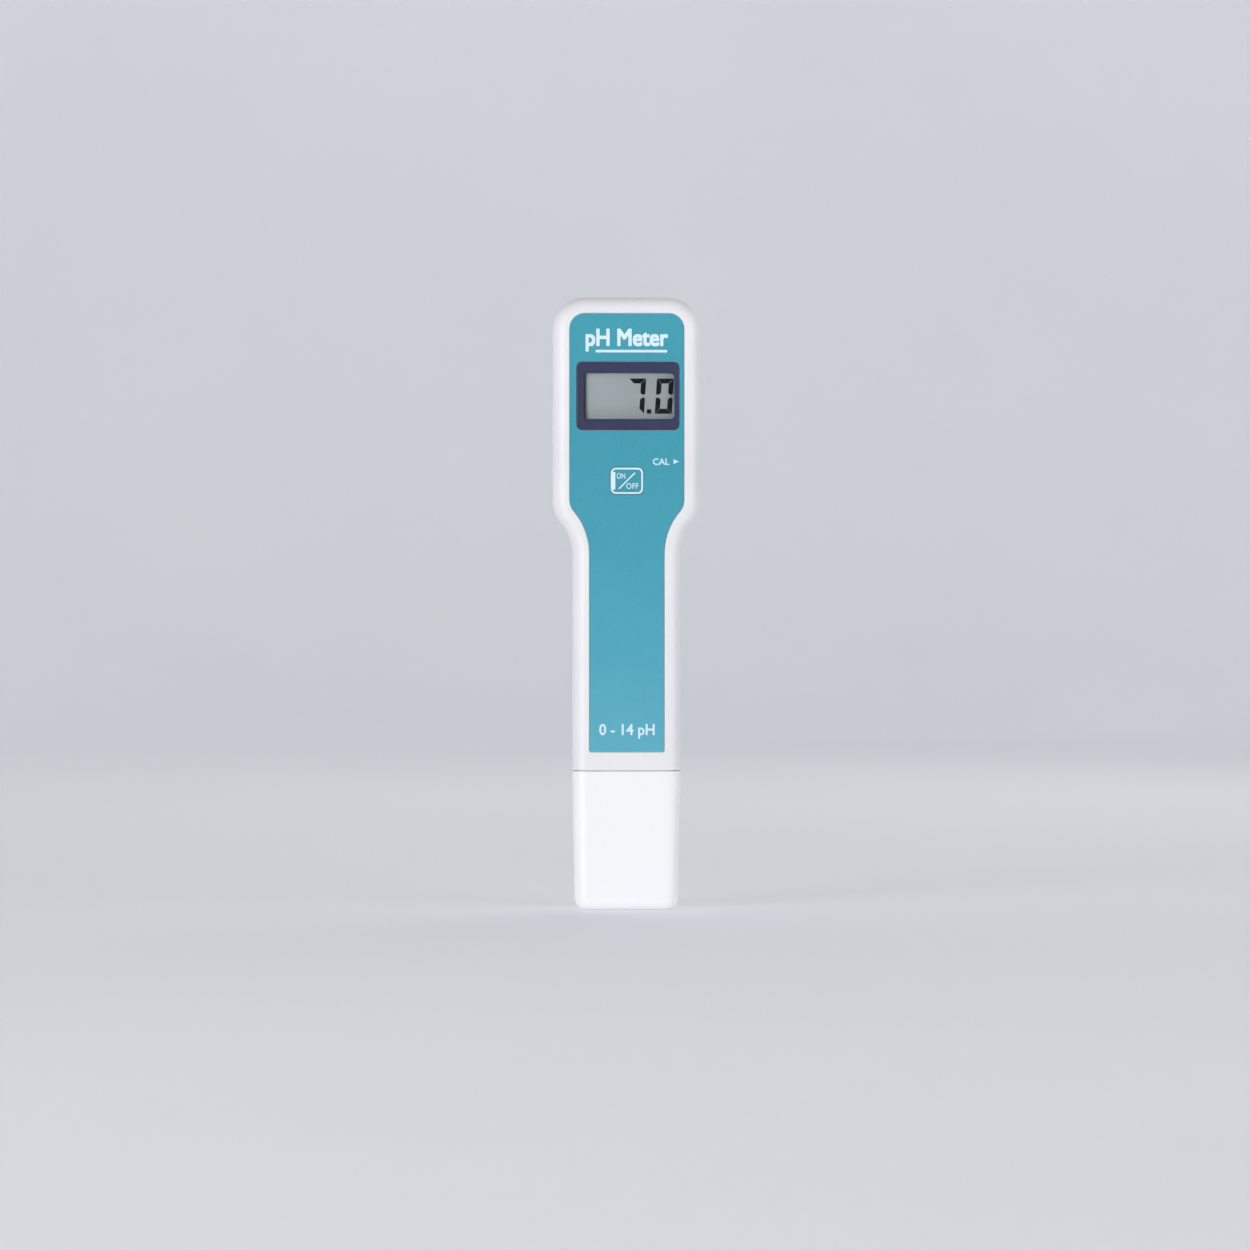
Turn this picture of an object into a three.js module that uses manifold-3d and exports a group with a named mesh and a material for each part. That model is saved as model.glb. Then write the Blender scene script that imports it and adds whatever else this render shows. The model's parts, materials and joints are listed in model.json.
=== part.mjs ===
// A pen-style digital pH meter, standing upright on its protective cap.
// Millimetres, +Z up, the display faces -Y, and the origin is the centre of the cap's foot.
import * as THREE from "three";
import { mergeVertices } from "three/addons/utils/BufferGeometryUtils.js";
import Module from "manifold-3d";

const wasm = await Module();
wasm.setup();

// ---- Driving dimensions ----

const totalHeight = 175;
const depth = 24;
const headWidth = 42.1;
const neckWidth = 30.8;
const capHeight = 39.6;
const partingGap = 0.3; // between the cap's rim and the housing
const edgeRadius = 4; // rounding of the housing's long edges
const cornerRadius = 9.2; // top corners, seen from the front
const shoulderLow = 101.7; // where the neck starts to widen
const shoulderRadius = 10; // convex part of the shoulder
const hollowRadius = 14; // concave part of the shoulder
const wall = 1.8;
const capWall = 1.6;
const capFootRadius = 3.2;
const capDraft = 0.044; // how much narrower the cap's foot is than its rim, as a share
const labelInset = 4.65; // from the outline to the label recess
const labelRecess = 0.55;
const labelThickness = 0.25;
const labelBottom = 45.1;
const labelPlay = 0.12; // around the label in its recess
const seamGap = 0.05; // half the gap between the two shells

const display = { x: 0.3, z: 146.7, width: 29.2, height: 19.5, viewWidth: 26.3, viewHeight: 13.1 };
const displayNeck = { width: 27.5, height: 14.3 }; // the bezel's rear part, through the front wall
const displayRebate = 0.95;
const key = { z: 122.5, width: 9.4, height: 7.7, gap: 0.12, travel: 0.5 };
const trimmer = { y: 0, z: 128, size: 6.6, holeRadius: 1.7 };
const door = { bottom: 51.2, top: 100.4, front: 5.15, gap: 0.3 };
const battery = { width: 26.2, thickness: 17, bottom: 51.5, top: 97.7, y: 0.7, terminalX: 6.35 };
const collar = { bottom: 31.8, top: 46.5, width: 27, thickness: 20.2, gap: 0.2 };
const probe = { radius: 6, bottom: 16, top: 46, bulbZ: 11.5, bulbRadius: 4, stemRadius: 3 };
const board = { front: -5.4, back: -3.8, bottom: 109, inset: 2.75 };
const postX = 14.4; // case screws, left and right of the middle
const postHeights = [119, 166];
const boardPosts = [
  [0, 164.5],
  [-14, 130],
  [8.5, 113.5],
];

const frontFace = -depth / 2;
const backFace = depth / 2;
const innerFront = frontFace + wall;
const innerBack = backFace - wall;
const bodyBottom = capHeight + partingGap;
const neckHalf = neckWidth / 2;
const headHalf = headWidth / 2;
const sweep = Math.acos(1 - (headHalf - neckHalf) / (shoulderRadius + hollowRadius));
const shoulderHigh = shoulderLow + (shoulderRadius + hollowRadius) * Math.sin(sweep);
const labelFloor = frontFace + labelRecess;
const boss = { front: 3, back: 3.6, pilot: 1.25, clearance: 1.5, sink: 2.6, sinkDepth: 2.6 };
const fit = 0.05; // between pieces that touch

// ---- Materials ----

const finish = (color, roughness, metalness = 0) =>
  new THREE.MeshStandardMaterial({ color, roughness, metalness });
const materials = {
  whitePlastic: finish(0xf0f0f2, 0.42),
  tealFilm: finish(0x48a2b6, 0.38),
  navyPlastic: finish(0x2c2f55, 0.35),
  clearPlastic: finish(0xeaf2f2, 0.08),
  liquidCrystal: finish(0x9aa3a5, 0.3),
  silverFilm: finish(0xb8bcbc, 0.35, 0.6),
  greyRubber: finish(0x3a3a3d, 0.8),
  foam: finish(0x4a4c50, 0.95),
  boardGreen: finish(0x1f6a3c, 0.5),
  blackPlastic: finish(0x1c1c1e, 0.5),
  greyPlastic: finish(0x8d9296, 0.5),
  trimmerBlue: finish(0x2c5fae, 0.4),
  steel: finish(0xb9bcc0, 0.35, 0.9),
  nickel: finish(0xd0d0cc, 0.25, 1),
  brass: finish(0xc9a455, 0.3, 1),
  batteryJacket: finish(0x8f959c, 0.3, 0.6),
  redWire: finish(0xb8231f, 0.5),
  blackWire: finish(0x1a1a1a, 0.5),
  greyWire: finish(0x55585c, 0.55),
  resistorBody: finish(0xd9c29a, 0.5),
  filmCapacitor: finish(0xb0452a, 0.35),
  probeEpoxy: finish(0x27303c, 0.3),
  probeGuard: finish(0xd7dde0, 0.3),
  glass: finish(0xdfe9ee, 0.05),
  ceramic: finish(0xefece2, 0.85),
  silver: finish(0xc9c9c9, 0.3, 1),
};

// ---- Solids ----

// A closed geometry as a solid that can be joined and cut.
function solid(geometry) {
  const bare = geometry.clone();
  bare.deleteAttribute("normal");
  bare.deleteAttribute("uv");
  const merged = mergeVertices(bare, 1e-4);
  const vertProperties = Float32Array.from(merged.attributes.position.array);
  const triVerts = Uint32Array.from(merged.index.array);
  return new wasm.Manifold(new wasm.Mesh({ numProp: 3, vertProperties, triVerts }));
}

function geometryOf(shape) {
  const mesh = shape.getMesh();
  const geometry = new THREE.BufferGeometry();
  geometry.setAttribute("position", new THREE.BufferAttribute(mesh.vertProperties, 3));
  geometry.setIndex(new THREE.BufferAttribute(mesh.triVerts, 1));
  geometry.computeVertexNormals();
  return geometry;
}

const join = (first, ...rest) => rest.reduce((whole, piece) => whole.add(piece), first);
const cut = (first, ...rest) => rest.reduce((whole, piece) => whole.subtract(piece), first);

// A block between two limits on each axis.
function block([x0, x1], [y0, y1], [z0, z1]) {
  const geometry = new THREE.BoxGeometry(x1 - x0, y1 - y0, z1 - z0);
  return solid(geometry.translate((x0 + x1) / 2, (y0 + y1) / 2, (z0 + z1) / 2));
}

// A round rod along one axis, from one end to the other, at a place on the other two axes.
function rod(axis, radius, [from, to], [a, b], sides = 16) {
  const geometry = new THREE.CylinderGeometry(radius, radius, to - from, sides);
  const middle = (from + to) / 2;
  if (axis === "x") return solid(geometry.rotateZ(-Math.PI / 2).translate(middle, a, b));
  if (axis === "y") return solid(geometry.translate(a, middle, b));
  return solid(geometry.rotateX(Math.PI / 2).translate(a, b, middle));
}

// A rectangle with round corners about its own middle.
function roundedRectangle(width, height, radius) {
  const x = width / 2 - radius;
  const y = height / 2 - radius;
  const quarter = Math.PI / 2;
  const shape = new THREE.Shape();
  shape.absarc(x, -y, radius, -quarter, 0, false);
  shape.absarc(x, y, radius, 0, quarter, false);
  shape.absarc(-x, y, radius, quarter, 2 * quarter, false);
  shape.absarc(-x, -y, radius, 2 * quarter, 3 * quarter, false);
  shape.closePath();
  return shape;
}

// The housing's outline seen from the front, moved inwards by an inset.
function bodyOutline(inset, bottom) {
  const neck = neckHalf - inset;
  const hollowX = neckHalf + hollowRadius;
  const shoulderX = headHalf - shoulderRadius;
  const cornerX = headHalf - cornerRadius;
  const cornerZ = totalHeight - cornerRadius;
  const right = Math.PI / 2;
  const shape = new THREE.Shape();
  shape.moveTo(-neck, bottom);
  shape.lineTo(neck, bottom);
  shape.absarc(hollowX, shoulderLow, hollowRadius + inset, 2 * right, 2 * right - sweep, true);
  shape.absarc(shoulderX, shoulderHigh, shoulderRadius - inset, -sweep, 0, false);
  shape.absarc(cornerX, cornerZ, cornerRadius - inset, 0, right, false);
  shape.absarc(-cornerX, cornerZ, cornerRadius - inset, right, 2 * right, false);
  shape.absarc(-shoulderX, shoulderHigh, shoulderRadius - inset, 2 * right, 2 * right + sweep, false);
  shape.absarc(-hollowX, shoulderLow, hollowRadius + inset, sweep, 0, true);
  shape.closePath();
  return shape;
}

// A shape drawn in X and Z, made thick from front to back, with round edges if a bevel is given.
function slab(shape, [front, back], bevel = 0, curveSegments = 3) {
  const geometry = new THREE.ExtrudeGeometry(shape, {
    depth: back - front - 2 * bevel,
    bevelEnabled: bevel > 0,
    bevelThickness: bevel,
    bevelSize: bevel,
    bevelSegments: curveSegments,
    curveSegments,
  });
  return solid(geometry.translate(0, 0, bevel - back).rotateX(Math.PI / 2));
}

// A rounded rectangle in X and Z about a place, thick from front to back.
function plate(width, height, radius, [front, back], [x, z], curveSegments = 2) {
  return slab(roundedRectangle(width, height, radius), [front, back], 0, curveSegments).translate(x, 0, z);
}

// A rounded rectangle in X and Y, tall from bottom to top.
function column(width, thickness, radius, [bottom, top], curveSegments = 2) {
  const shape = roundedRectangle(width, thickness, radius);
  const settings = { depth: top - bottom, bevelEnabled: false, curveSegments };
  const geometry = new THREE.ExtrudeGeometry(shape, settings);
  return solid(geometry.translate(0, 0, bottom));
}

// A cup-shaped block that narrows towards a rounded foot.
function tub(width, thickness, radius, foot, [bottom, top], curveSegments) {
  const shape = roundedRectangle(width - 2 * foot, thickness - 2 * foot, radius - foot);
  const geometry = new THREE.ExtrudeGeometry(shape, {
    depth: top - bottom,
    bevelThickness: foot,
    bevelSize: foot,
    bevelSegments: curveSegments,
    curveSegments,
  });
  geometry.translate(0, 0, bottom + foot);
  const position = geometry.attributes.position;
  for (let i = 0; i < position.count; i++) {
    const share = 1 - (capDraft * (capHeight - position.getZ(i))) / capHeight;
    position.setXY(i, position.getX(i) * share, position.getY(i) * share);
  }
  return solid(geometry).intersect(block([-50, 50], [-50, 50], [bottom - 1, top]));
}

// A wire along a smooth line through points.
function wire(points, radius, steps) {
  const path = new THREE.CatmullRomCurve3(points.map((p) => new THREE.Vector3(...p)));
  const section = new THREE.Shape().absarc(0, 0, radius, 0, 2 * Math.PI);
  return solid(new THREE.ExtrudeGeometry(section, { steps, extrudePath: path, curveSegments: 3 }));
}

// A turned piece about the Z axis, from a profile of radius and height that starts and ends on the axis.
function turned(profile, sides = 20) {
  const points = profile.map(([r, z]) => new THREE.Vector2(r, z));
  return solid(new THREE.LatheGeometry(points, sides).rotateX(Math.PI / 2));
}

const everywhere = [-60, 60];
const anyHeight = [-1, 300];

// ---- Housing ----

const bodySolid = slab(bodyOutline(edgeRadius, 20), [frontFace, backFace], edgeRadius, 4);
const bodyHollow = slab(bodyOutline(edgeRadius, 20), [innerFront, innerBack], edgeRadius - wall, 3);
const sunk = 0.5; // how far bulkheads, ribs and posts run into the walls that carry them
const bulkheadRange = [innerFront - sunk, innerBack + sunk];
const bulkheadStock = slab(bodyOutline(edgeRadius, 20), bulkheadRange, edgeRadius - wall + sunk);
const bodyRange = block(everywhere, everywhere, [bodyBottom, anyHeight[1]]);
const bodyShell = cut(bodySolid, bodyHollow).intersect(bodyRange);
const upperBulkhead = [104, 105.2];
const lowerBulkhead = [49.6, 50.8];

// Cross walls above and below the battery, sunk a little into the walls.
function bulkheads([front, back]) {
  return [upperBulkhead, lowerBulkhead].map((range) =>
    bulkheadStock.intersect(block(everywhere, [front, back], range)),
  );
}

// The way that the probe cable and the battery leads take through the bulkheads.
function wireways() {
  const cableSlot = block([-2, 2], [innerFront, -6.6], [lowerBulkhead[0] - 1, upperBulkhead[1] + 1]);
  const leadSlot = block([-5.5, 5.5], [-2.5, 3.5], [upperBulkhead[0] - 1, upperBulkhead[1] + 1]);
  return [cableSlot, leadSlot];
}

const trimmerHole = () => rod("x", trimmer.holeRadius, [17, 30], [trimmer.y, trimmer.z]);

// Ribs that carry the battery and keep the cable's channel clear.
function batteryRibs() {
  return [-10.5, -4.5, 4.5, 10.5].map((x) =>
    block([x - 0.6, x + 0.6], [innerFront - sunk, -7.95], [lowerBulkhead[1] - sunk, upperBulkhead[0] + sunk]),
  );
}

const collarGroove = { bottom: 42.4, top: 44.6, depth: 0.9 };

// Ribs that lock into the collar's front and back grooves.
function collarRibs([front, back]) {
  return block([-10.5, 10.5], [front, back], [collarGroove.bottom + 0.2, collarGroove.top - 0.2]);
}

// A lip on the front shell that stands inside the back shell's wall around the head.
function seamLip() {
  const outer = slab(bodyOutline(wall + 0.15, 20), [-2, 1.1]);
  const inner = slab(bodyOutline(wall + 0.95, 20), [-3, 2]);
  const ring = cut(outer, inner).intersect(block(everywhere, everywhere, [upperBulkhead[1], anyHeight[1]]));
  const root = slab(bodyOutline(wall - 0.4, 20), [-2.4, -0.9]);
  const rooted = cut(root, inner).intersect(block(everywhere, everywhere, [upperBulkhead[1], anyHeight[1]]));
  return cut(join(ring, rooted), block([15, 22], [-3, 3], [trimmer.z - 4.5, trimmer.z + 4.5]));
}

const keyOpening = (range) =>
  plate(key.width + 2 * key.gap, key.height + 2 * key.gap, 1.7, range, [0, key.z]);

function frontShell() {
  const half = bodyShell.intersect(block(everywhere, [-30, -seamGap], anyHeight));
  const recess = slab(bodyOutline(labelInset, labelBottom), [frontFace - 1, labelFloor]);
  const through = [frontFace - 1, innerFront + 1];
  const place = [display.x, display.z];
  const displayHole = plate(displayNeck.width + 0.2, displayNeck.height + 0.2, 1.2, through, place);
  const rebateRange = [frontFace - 1, frontFace + displayRebate];
  const rebate = plate(display.width + 0.2, display.height + 0.2, 1.9, rebateRange, place);
  const keyHole = keyOpening(through);
  const postHoles = postHeights.flatMap((z) =>
    [-postX, postX].map((x) => rod("y", boss.pilot, [-9.4, 5], [x, z], 10)));
  const posts = postHeights.flatMap((z) =>
    [-postX, postX].map((x) => rod("y", boss.front, [innerFront - sunk, -seamGap], [x, z])));
  const boardPostRange = [innerFront - sunk, board.front - fit];
  const boardPostSolids = boardPosts.map((place) => rod("y", 2.4, boardPostRange, place, 12));
  const boardPilots = boardPosts.map((place) => rod("y", 0.95, [-9.6, 5], place, 8));
  const crossWalls = bulkheads([-11.2, -seamGap]);
  const inside = join(...batteryRibs(), ...crossWalls, collarRibs([innerFront - sunk, -9.45]));
  const whole = join(half, inside, seamLip(), ...posts, ...boardPostSolids);
  return cut(
    whole, recess, displayHole, rebate, keyHole, trimmerHole(),
    ...wireways(), ...postHoles, ...boardPilots);
}

// The part of the housing's back that the battery door closes.
const doorOpening = block(
  everywhere, [door.front - door.gap / 2, 20], [door.bottom - door.gap, door.top + door.gap]);

function rearShell() {
  const half = bodyShell.intersect(block(everywhere, [seamGap, 30], anyHeight));
  const places = postHeights.flatMap((z) => [-postX, postX].map((x) => [x, z]));
  const posts = places.map(([x, z]) => rod("y", boss.back, [seamGap, innerBack + sunk], [x, z]));
  const clearances = places.map(([x, z]) => rod("y", boss.clearance, [-1, 20], [x, z], 12));
  const sinks = places.map(([x, z]) => rod("y", boss.sink, [backFace - boss.sinkDepth, 20], [x, z]));
  const fingerNotch = rod("x", 3.4, [-5.5, 5.5], [backFace + 2.2, door.bottom - door.gap], 24);
  const whole = join(half, ...bulkheads([seamGap, 11.2]), collarRibs([9.45, innerBack + sunk]), ...posts);
  return cut(whole, doorOpening, trimmerHole(), fingerNotch, ...wireways(), ...clearances, ...sinks);
}

// ---- Battery door ----

function batteryDoor() {
  const cover = cut(bodySolid, bodyHollow).intersect(
    block(everywhere, [door.front, 30], [door.bottom, door.top]));
  const hooks = [-8, 8].map((x) =>
    join(
      block([x - 2, x + 2], [8.4, innerBack + 0.4], [97.95, door.top]),
      block([x - 2, x + 2], [8.4, 9.9], [98.2, door.top + 1.8]),
    ));
  const stiffeners = [-11, 11].map((x) => block([x - 0.5, x + 0.5], [9.5, innerBack + 0.4], [54, 97]));
  const grips = [57, 59.2, 61.4, 63.6].map((z) => rod("x", 0.55, [-6.5, 6.5], [backFace, z], 8));
  const tongueSlots = [-8.2, 8.2].map((x) => block([x - 0.4, x + 0.4], [9, 13], [door.bottom - 1, 66]));
  return cut(join(cover, ...hooks, ...stiffeners), ...grips, ...tongueSlots);
}

const batteryBack = battery.y + battery.thickness / 2;
const doorPad = () => plate(19, 30, 1.5, [batteryBack + 0.15, innerBack - fit], [0, 82]);

// ---- Front face ----

function faceLabel() {
  const film = [labelFloor - fit - labelThickness, labelFloor - fit];
  const sheet = slab(bodyOutline(labelInset + labelPlay, labelBottom + labelPlay), film);
  const through = [frontFace - 1, innerFront];
  const window = plate(display.width + 0.3, display.height + 0.3, 1.95, through, [display.x, display.z]);
  return cut(sheet, window, keyOpening(through));
}

function displayBezel() {
  const place = [display.x, display.z];
  const flange = plate(display.width, display.height, 1.8, [frontFace + 0.1, frontFace + 0.9], place, 4);
  const neck = plate(displayNeck.width, displayNeck.height, 1.1, [frontFace + 0.9, innerFront], place);
  const opening = plate(display.viewWidth, display.viewHeight, 1, [frontFace - 1, innerFront + 1], place);
  return cut(join(flange, neck), opening);
}

const displayLens = () =>
  plate(display.viewWidth - 0.15, display.viewHeight - 0.15, 0.9, [-11, innerFront], [display.x, display.z]);

// The key's pad stands 0.3 mm above the label; its flange stays behind the front wall.
function powerKey() {
  const pad = plate(key.width, key.height, 1.6, [frontFace, innerFront + 0.2], [0, key.z], 4);
  const flange = plate(11.4, 9.7, 1.2, [innerFront + 0.1, innerFront + 0.7], [0, key.z]);
  const pusher = rod("y", 1.9, [innerFront + 0.5, -9.25], [0, key.z], 16);
  return join(pad, flange, pusher);
}

// ---- Display module ----

const lcd = { width: 31, height: 20.6, front: -10.1, glass: 1.1, cellHeight: 16.2 };
const lcdMiddle = lcd.front + lcd.glass;

function lcdPlate(height, [front, back]) {
  const across = [display.x - lcd.width / 2, display.x + lcd.width / 2];
  return block(across, [front, back], [display.z - height / 2, display.z + height / 2]);
}

const lcdFrontGlass = () => lcdPlate(lcd.height, [lcd.front, lcdMiddle]);
const lcdRearGlass = () => lcdPlate(lcd.cellHeight, [lcdMiddle + fit, lcdMiddle + lcd.glass]);
const lcdReflector = () =>
  lcdPlate(lcd.cellHeight - 0.8, [lcdMiddle + lcd.glass + fit, lcdMiddle + lcd.glass + 0.25]);

function lcdCarrier() {
  const place = [display.x, display.z];
  const frame = plate(lcd.width + 2.6, lcd.height + 3.6, 1, [lcd.front + 0.4, board.front - fit], place);
  const opening = plate(lcd.width + 0.3, lcd.height + 0.3, 0.3, [-20, 0], place);
  const crossBars = [-1, 1].map((side) => {
    const z = display.z + side * 7.1;
    const range = [lcdMiddle + lcd.glass + 0.4, board.front - fit];
    return block([display.x - 16, display.x + 16], range, [z - 0.5, z + 0.5]);
  });
  return join(cut(frame, opening), ...crossBars);
}

function zebraStrip(side) {
  const z = display.z + side * 9.15;
  const across = [display.x - 14.5, display.x + 14.5];
  return block(across, [lcdMiddle + fit, board.front - fit], [z - 0.85, z + 0.85]);
}

// ---- Circuit board ----

function mainBoard() {
  const sheet = slab(bodyOutline(board.inset, 90), [board.front, board.back]);
  const trimmed = sheet.intersect(block(everywhere, everywhere, [board.bottom, 171]));
  const postHoles = postHeights.flatMap((z) =>
    [-postX, postX].map((x) => rod("y", 4.1, [-9, 0], [x, z])));
  const screwHoles = boardPosts.map(([x, z]) => rod("y", 1.3, [-9, 0], [x, z], 12));
  return cut(trimmed, ...postHoles, ...screwHoles);
}

const switchFace = -8.6;

function switchHousing() {
  const base = block([-3, 3], [switchFace, board.front - fit], [key.z - 3, key.z + 3]);
  return cut(base, rod("y", 1.95, [-12, -7.2], [0, key.z]));
}

const switchPlunger = () => rod("y", 1.75, [-9.2, -7.9], [0, key.z]);

// The metal plate on the switch's face, with a hole for the plunger.
function switchPlate() {
  const sheet = block([-3, 3], [switchFace - 0.25, switchFace - fit], [key.z - 3, key.z + 3]);
  return cut(sheet, rod("y", 1.95, [-12, -7.2], [0, key.z]));
}

function trimmerHousing() {
  const half = trimmer.size / 2;
  const body = block([11.3, 17.9], [board.back + fit, trimmer.y + 3], [trimmer.z - half, trimmer.z + half]);
  return cut(body, rod("x", 2.35, [15.5, 19], [trimmer.y, trimmer.z]));
}

// A slotted rotor, turned with a small screwdriver through the hole in the housing's side.
function trimmerRotor() {
  const disc = rod("x", 2.2, [15.7, 18.6], [trimmer.y, trimmer.z]);
  const slot = block([17.9, 19], [trimmer.y - 0.3, trimmer.y + 0.3], [trimmer.z - 2.6, trimmer.z + 2.6]);
  return cut(disc, slot);
}

// A chip body with rows of gull-wing leads on its left and right.
function chip([x, z], [width, height], thickness, leads, pitch) {
  const back = board.back + fit;
  const across = [x - width / 2, x + width / 2];
  const body = block(across, [back + 0.15, back + thickness], [z - height / 2, z + height / 2]);
  const rows = [];
  for (const side of [-1, 1]) {
    for (let i = 0; i < leads; i++) {
      const leadZ = z + (i - (leads - 1) / 2) * pitch;
      const from = x + side * (width / 2 - 0.2);
      const to = x + side * (width / 2 + 1.1);
      const reach = [Math.min(from, to), Math.max(from, to)];
      rows.push(block(reach, [back, back + 0.4], [leadZ - pitch * 0.22, leadZ + pitch * 0.22]));
    }
  }
  return join(body, ...rows);
}

const meterChip = () => chip([0.5, 148], [11, 14], 2.3, 10, 1.27);
const amplifierChip = () => chip([-8, 121], [4, 5], 1.7, 4, 1.27);

function filmCapacitor(x, z) {
  const back = board.back + fit;
  const width = 7.2;
  const geometry = new THREE.ExtrudeGeometry(roundedRectangle(width, 2.6, 0.8), {
    depth: 5.4, bevelThickness: 0.5, bevelSize: 0.4, bevelOffset: -0.4, bevelSegments: 1, curveSegments: 1,
  });
  const body = solid(geometry.rotateX(-Math.PI / 2).translate(x, back + 1, z));
  const legs = [-2.5, 2.5].map((side) => rod("y", 0.3, [back, back + 1], [x + side, z], 6));
  return join(body, ...legs);
}

function electrolyticCapacitor() {
  const back = board.back + fit;
  const place = [-8.5, 136];
  const can = rod("y", 2.5, [back + 0.4, back + 9.6], place, 18);
  const grooveBand = [back + 1.6, back + 2.2];
  const groove = cut(rod("y", 3, grooveBand, place, 18), rod("y", 2.3, grooveBand, place, 18));
  const legs = [-1, 1].map((side) => rod("y", 0.3, [back, back + 0.6], [place[0] + side, place[1]], 6));
  return join(cut(can, groove), ...legs);
}

// An axial resistor: a waisted body on a wire bent down to the board at both ends.
function resistor(x, z) {
  const back = board.back + fit;
  const height = back + 1.4;
  const profile = [
    [0, -3.2], [0.8, -3.2], [1.15, -2.7], [1.15, -1.9], [0.9, -1.5],
    [0.9, 1.5], [1.15, 1.9], [1.15, 2.7], [0.8, 3.2], [0, 3.2],
  ];
  const body = turned(profile, 8).translate(x, height, z);
  const lead = rod("z", 0.3, [z - 4.6, z + 4.6], [x, height], 6);
  const legs = [-4.5, 4.5].map((side) => rod("y", 0.3, [back, height + 0.2], [x, z + side], 6));
  return join(body, lead, ...legs);
}

// ---- Battery and its clip ----

const batteryCorner = 2.6;

function batterySection(inset, range) {
  const section = [battery.width - 2 * inset, battery.thickness - 2 * inset, batteryCorner - inset];
  return column(...section, range, 3).translate(0, battery.y, 0);
}

const batteryJacket = () => batterySection(0, [battery.bottom, battery.top - 0.7]);
const batteryTopPlate = () => batterySection(0.5, [battery.top - 0.65, battery.top]);

// The small terminal: a stud with a waist.
function batteryStud(base, radius) {
  const profile = [
    [0, 0], [radius, 0], [radius, 0.5], [radius - 0.35, 0.9],
    [radius - 0.35, 1.4], [radius, 1.8], [radius - 0.3, 2.3], [0, 2.3],
  ];
  return turned(profile, 18).translate(0, battery.y, base);
}

// The large terminal: a hexagonal ring.
function batterySocket(base) {
  const ring = rod("z", 4.3, [base, base + 2.3], [0, 0], 6);
  return cut(ring, rod("z", 3.05, [base + 0.5, base + 5], [0, 0], 18)).translate(0, battery.y, 0);
}

const clipBase = 100.55;
const positiveStud = () => batteryStud(battery.top + fit, 2.8).translate(-battery.terminalX, 0, 0);
const negativeSocket = () => batterySocket(battery.top + fit).translate(battery.terminalX, 0, 0);

function clipCover() {
  const cover = column(25.4, 12.4, 5.6, [clipBase + fit, clipBase + 2]).translate(0, battery.y, 0);
  const leadHoles = [-3, 3].map((x) => rod("z", 0.75, [clipBase + 1, clipBase + 4], [x, battery.y], 12));
  return cut(cover, ...leadHoles);
}

// The clip's parts face down onto the battery's terminals.
function clipSocket() {
  const ring = rod("z", 4.4, [battery.top + 0.5, clipBase], [-battery.terminalX, battery.y], 8);
  return cut(ring, rod("z", 3.1, [battery.top - 1, clipBase - 0.3], [-battery.terminalX, battery.y]));
}

const clipStud = () => rod("z", 2.7, [battery.top + 0.8, clipBase], [battery.terminalX, battery.y]);

function batteryLead(side) {
  const y = battery.y;
  const end = board.back + fit;
  const route = [
    [side * 3, y, clipBase + 1.15], [side * 3, y, 103.5], [side * 3.2, y + 0.2, 107], [side * 4.6, 3.6, 112],
    [side * 5.4, 5.8, 117], [side * 5.2, 4.4, 121], [side * 4.5, 1.2, 120], [side * 4, end + 2.2, 117.2],
    [side * 4, end + 0.9, 117], [side * 4, end, 117],
  ];
  return wire(route, 0.55, 24);
}

// ---- Probe ----

function probeCollar() {
  const lower = column(collar.width, collar.thickness, 2.2, [collar.bottom + 1, capHeight]);
  const lead = column(collar.width - 1, collar.thickness - 1, 1.7, [collar.bottom, collar.bottom + 2]);
  const upper = column(26.8, 20, 2, [capHeight - 0.5, collar.top]);
  const sealGroove = cut(
    column(40, 40, 1, [34.6, 36.4], 1), column(collar.width - 2, collar.thickness - 2, 1.4, [33, 38]));
  const grooveBand = block([-10.8, 10.8], everywhere, [collarGroove.bottom, collarGroove.top]);
  const grooveFloor = 10 - collarGroove.depth;
  const lockGrooves = cut(grooveBand, block(everywhere, [-grooveFloor, grooveFloor], [0, 99]));
  const bore = rod("z", probe.radius + 0.15, [20, 60], [0, 0], 28);
  return cut(join(lower, lead, upper), sealGroove, lockGrooves, bore);
}

function collarSeal() {
  const outer = column(collar.width + 0.24, collar.thickness + 0.24, 2.3, [34.8, 36.2]);
  return cut(outer, column(collar.width - 1.85, collar.thickness - 1.85, 1.45, [33, 38]));
}

function probeBody() {
  const tube = rod("z", probe.radius, [probe.bottom, probe.top], [0, 0], 28);
  const chamber = rod("z", 4.2, [probe.bottom - 1, probe.top - 3], [0, 0], 20);
  const cableHole = rod("z", 1.05, [probe.top - 4, probe.top + 1], [0, 0], 12);
  return cut(tube, chamber, cableHole);
}

// A glass tube that ends in a thin round bulb, open at its upper end.
function glassBulb() {
  const { bulbZ, bulbRadius, stemRadius } = probe;
  const skin = 0.5;
  const top = probe.top - 4;
  const steps = 6;
  const profile = [];
  const ball = (radius, neck, reverse) => {
    const last = Math.PI / 2 + Math.acos(neck / radius);
    const points = [];
    for (let i = 0; i <= steps; i++) {
      const angle = -Math.PI / 2 + (i / steps) * last;
      const r = i === 0 ? 0 : radius * Math.cos(angle);
      points.push([r, bulbZ + radius * Math.sin(angle)]);
    }
    profile.push(...(reverse ? points.reverse() : points));
  };
  ball(bulbRadius, stemRadius, false);
  profile.push([stemRadius, top], [stemRadius - skin, top]);
  ball(bulbRadius - skin, stemRadius - skin, true);
  return turned(profile, 20);
}

const silverWire = () => rod("z", 0.4, [probe.bulbZ - 1, probe.top - 3.2], [0, 0], 10);

function referenceRing() {
  const ring = rod("z", 4.1, [probe.bottom + 0.6, probe.bottom + 3.6], [0, 0], 20);
  return cut(ring, rod("z", probe.stemRadius + 0.1, [10, 30], [0, 0], 20));
}

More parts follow.
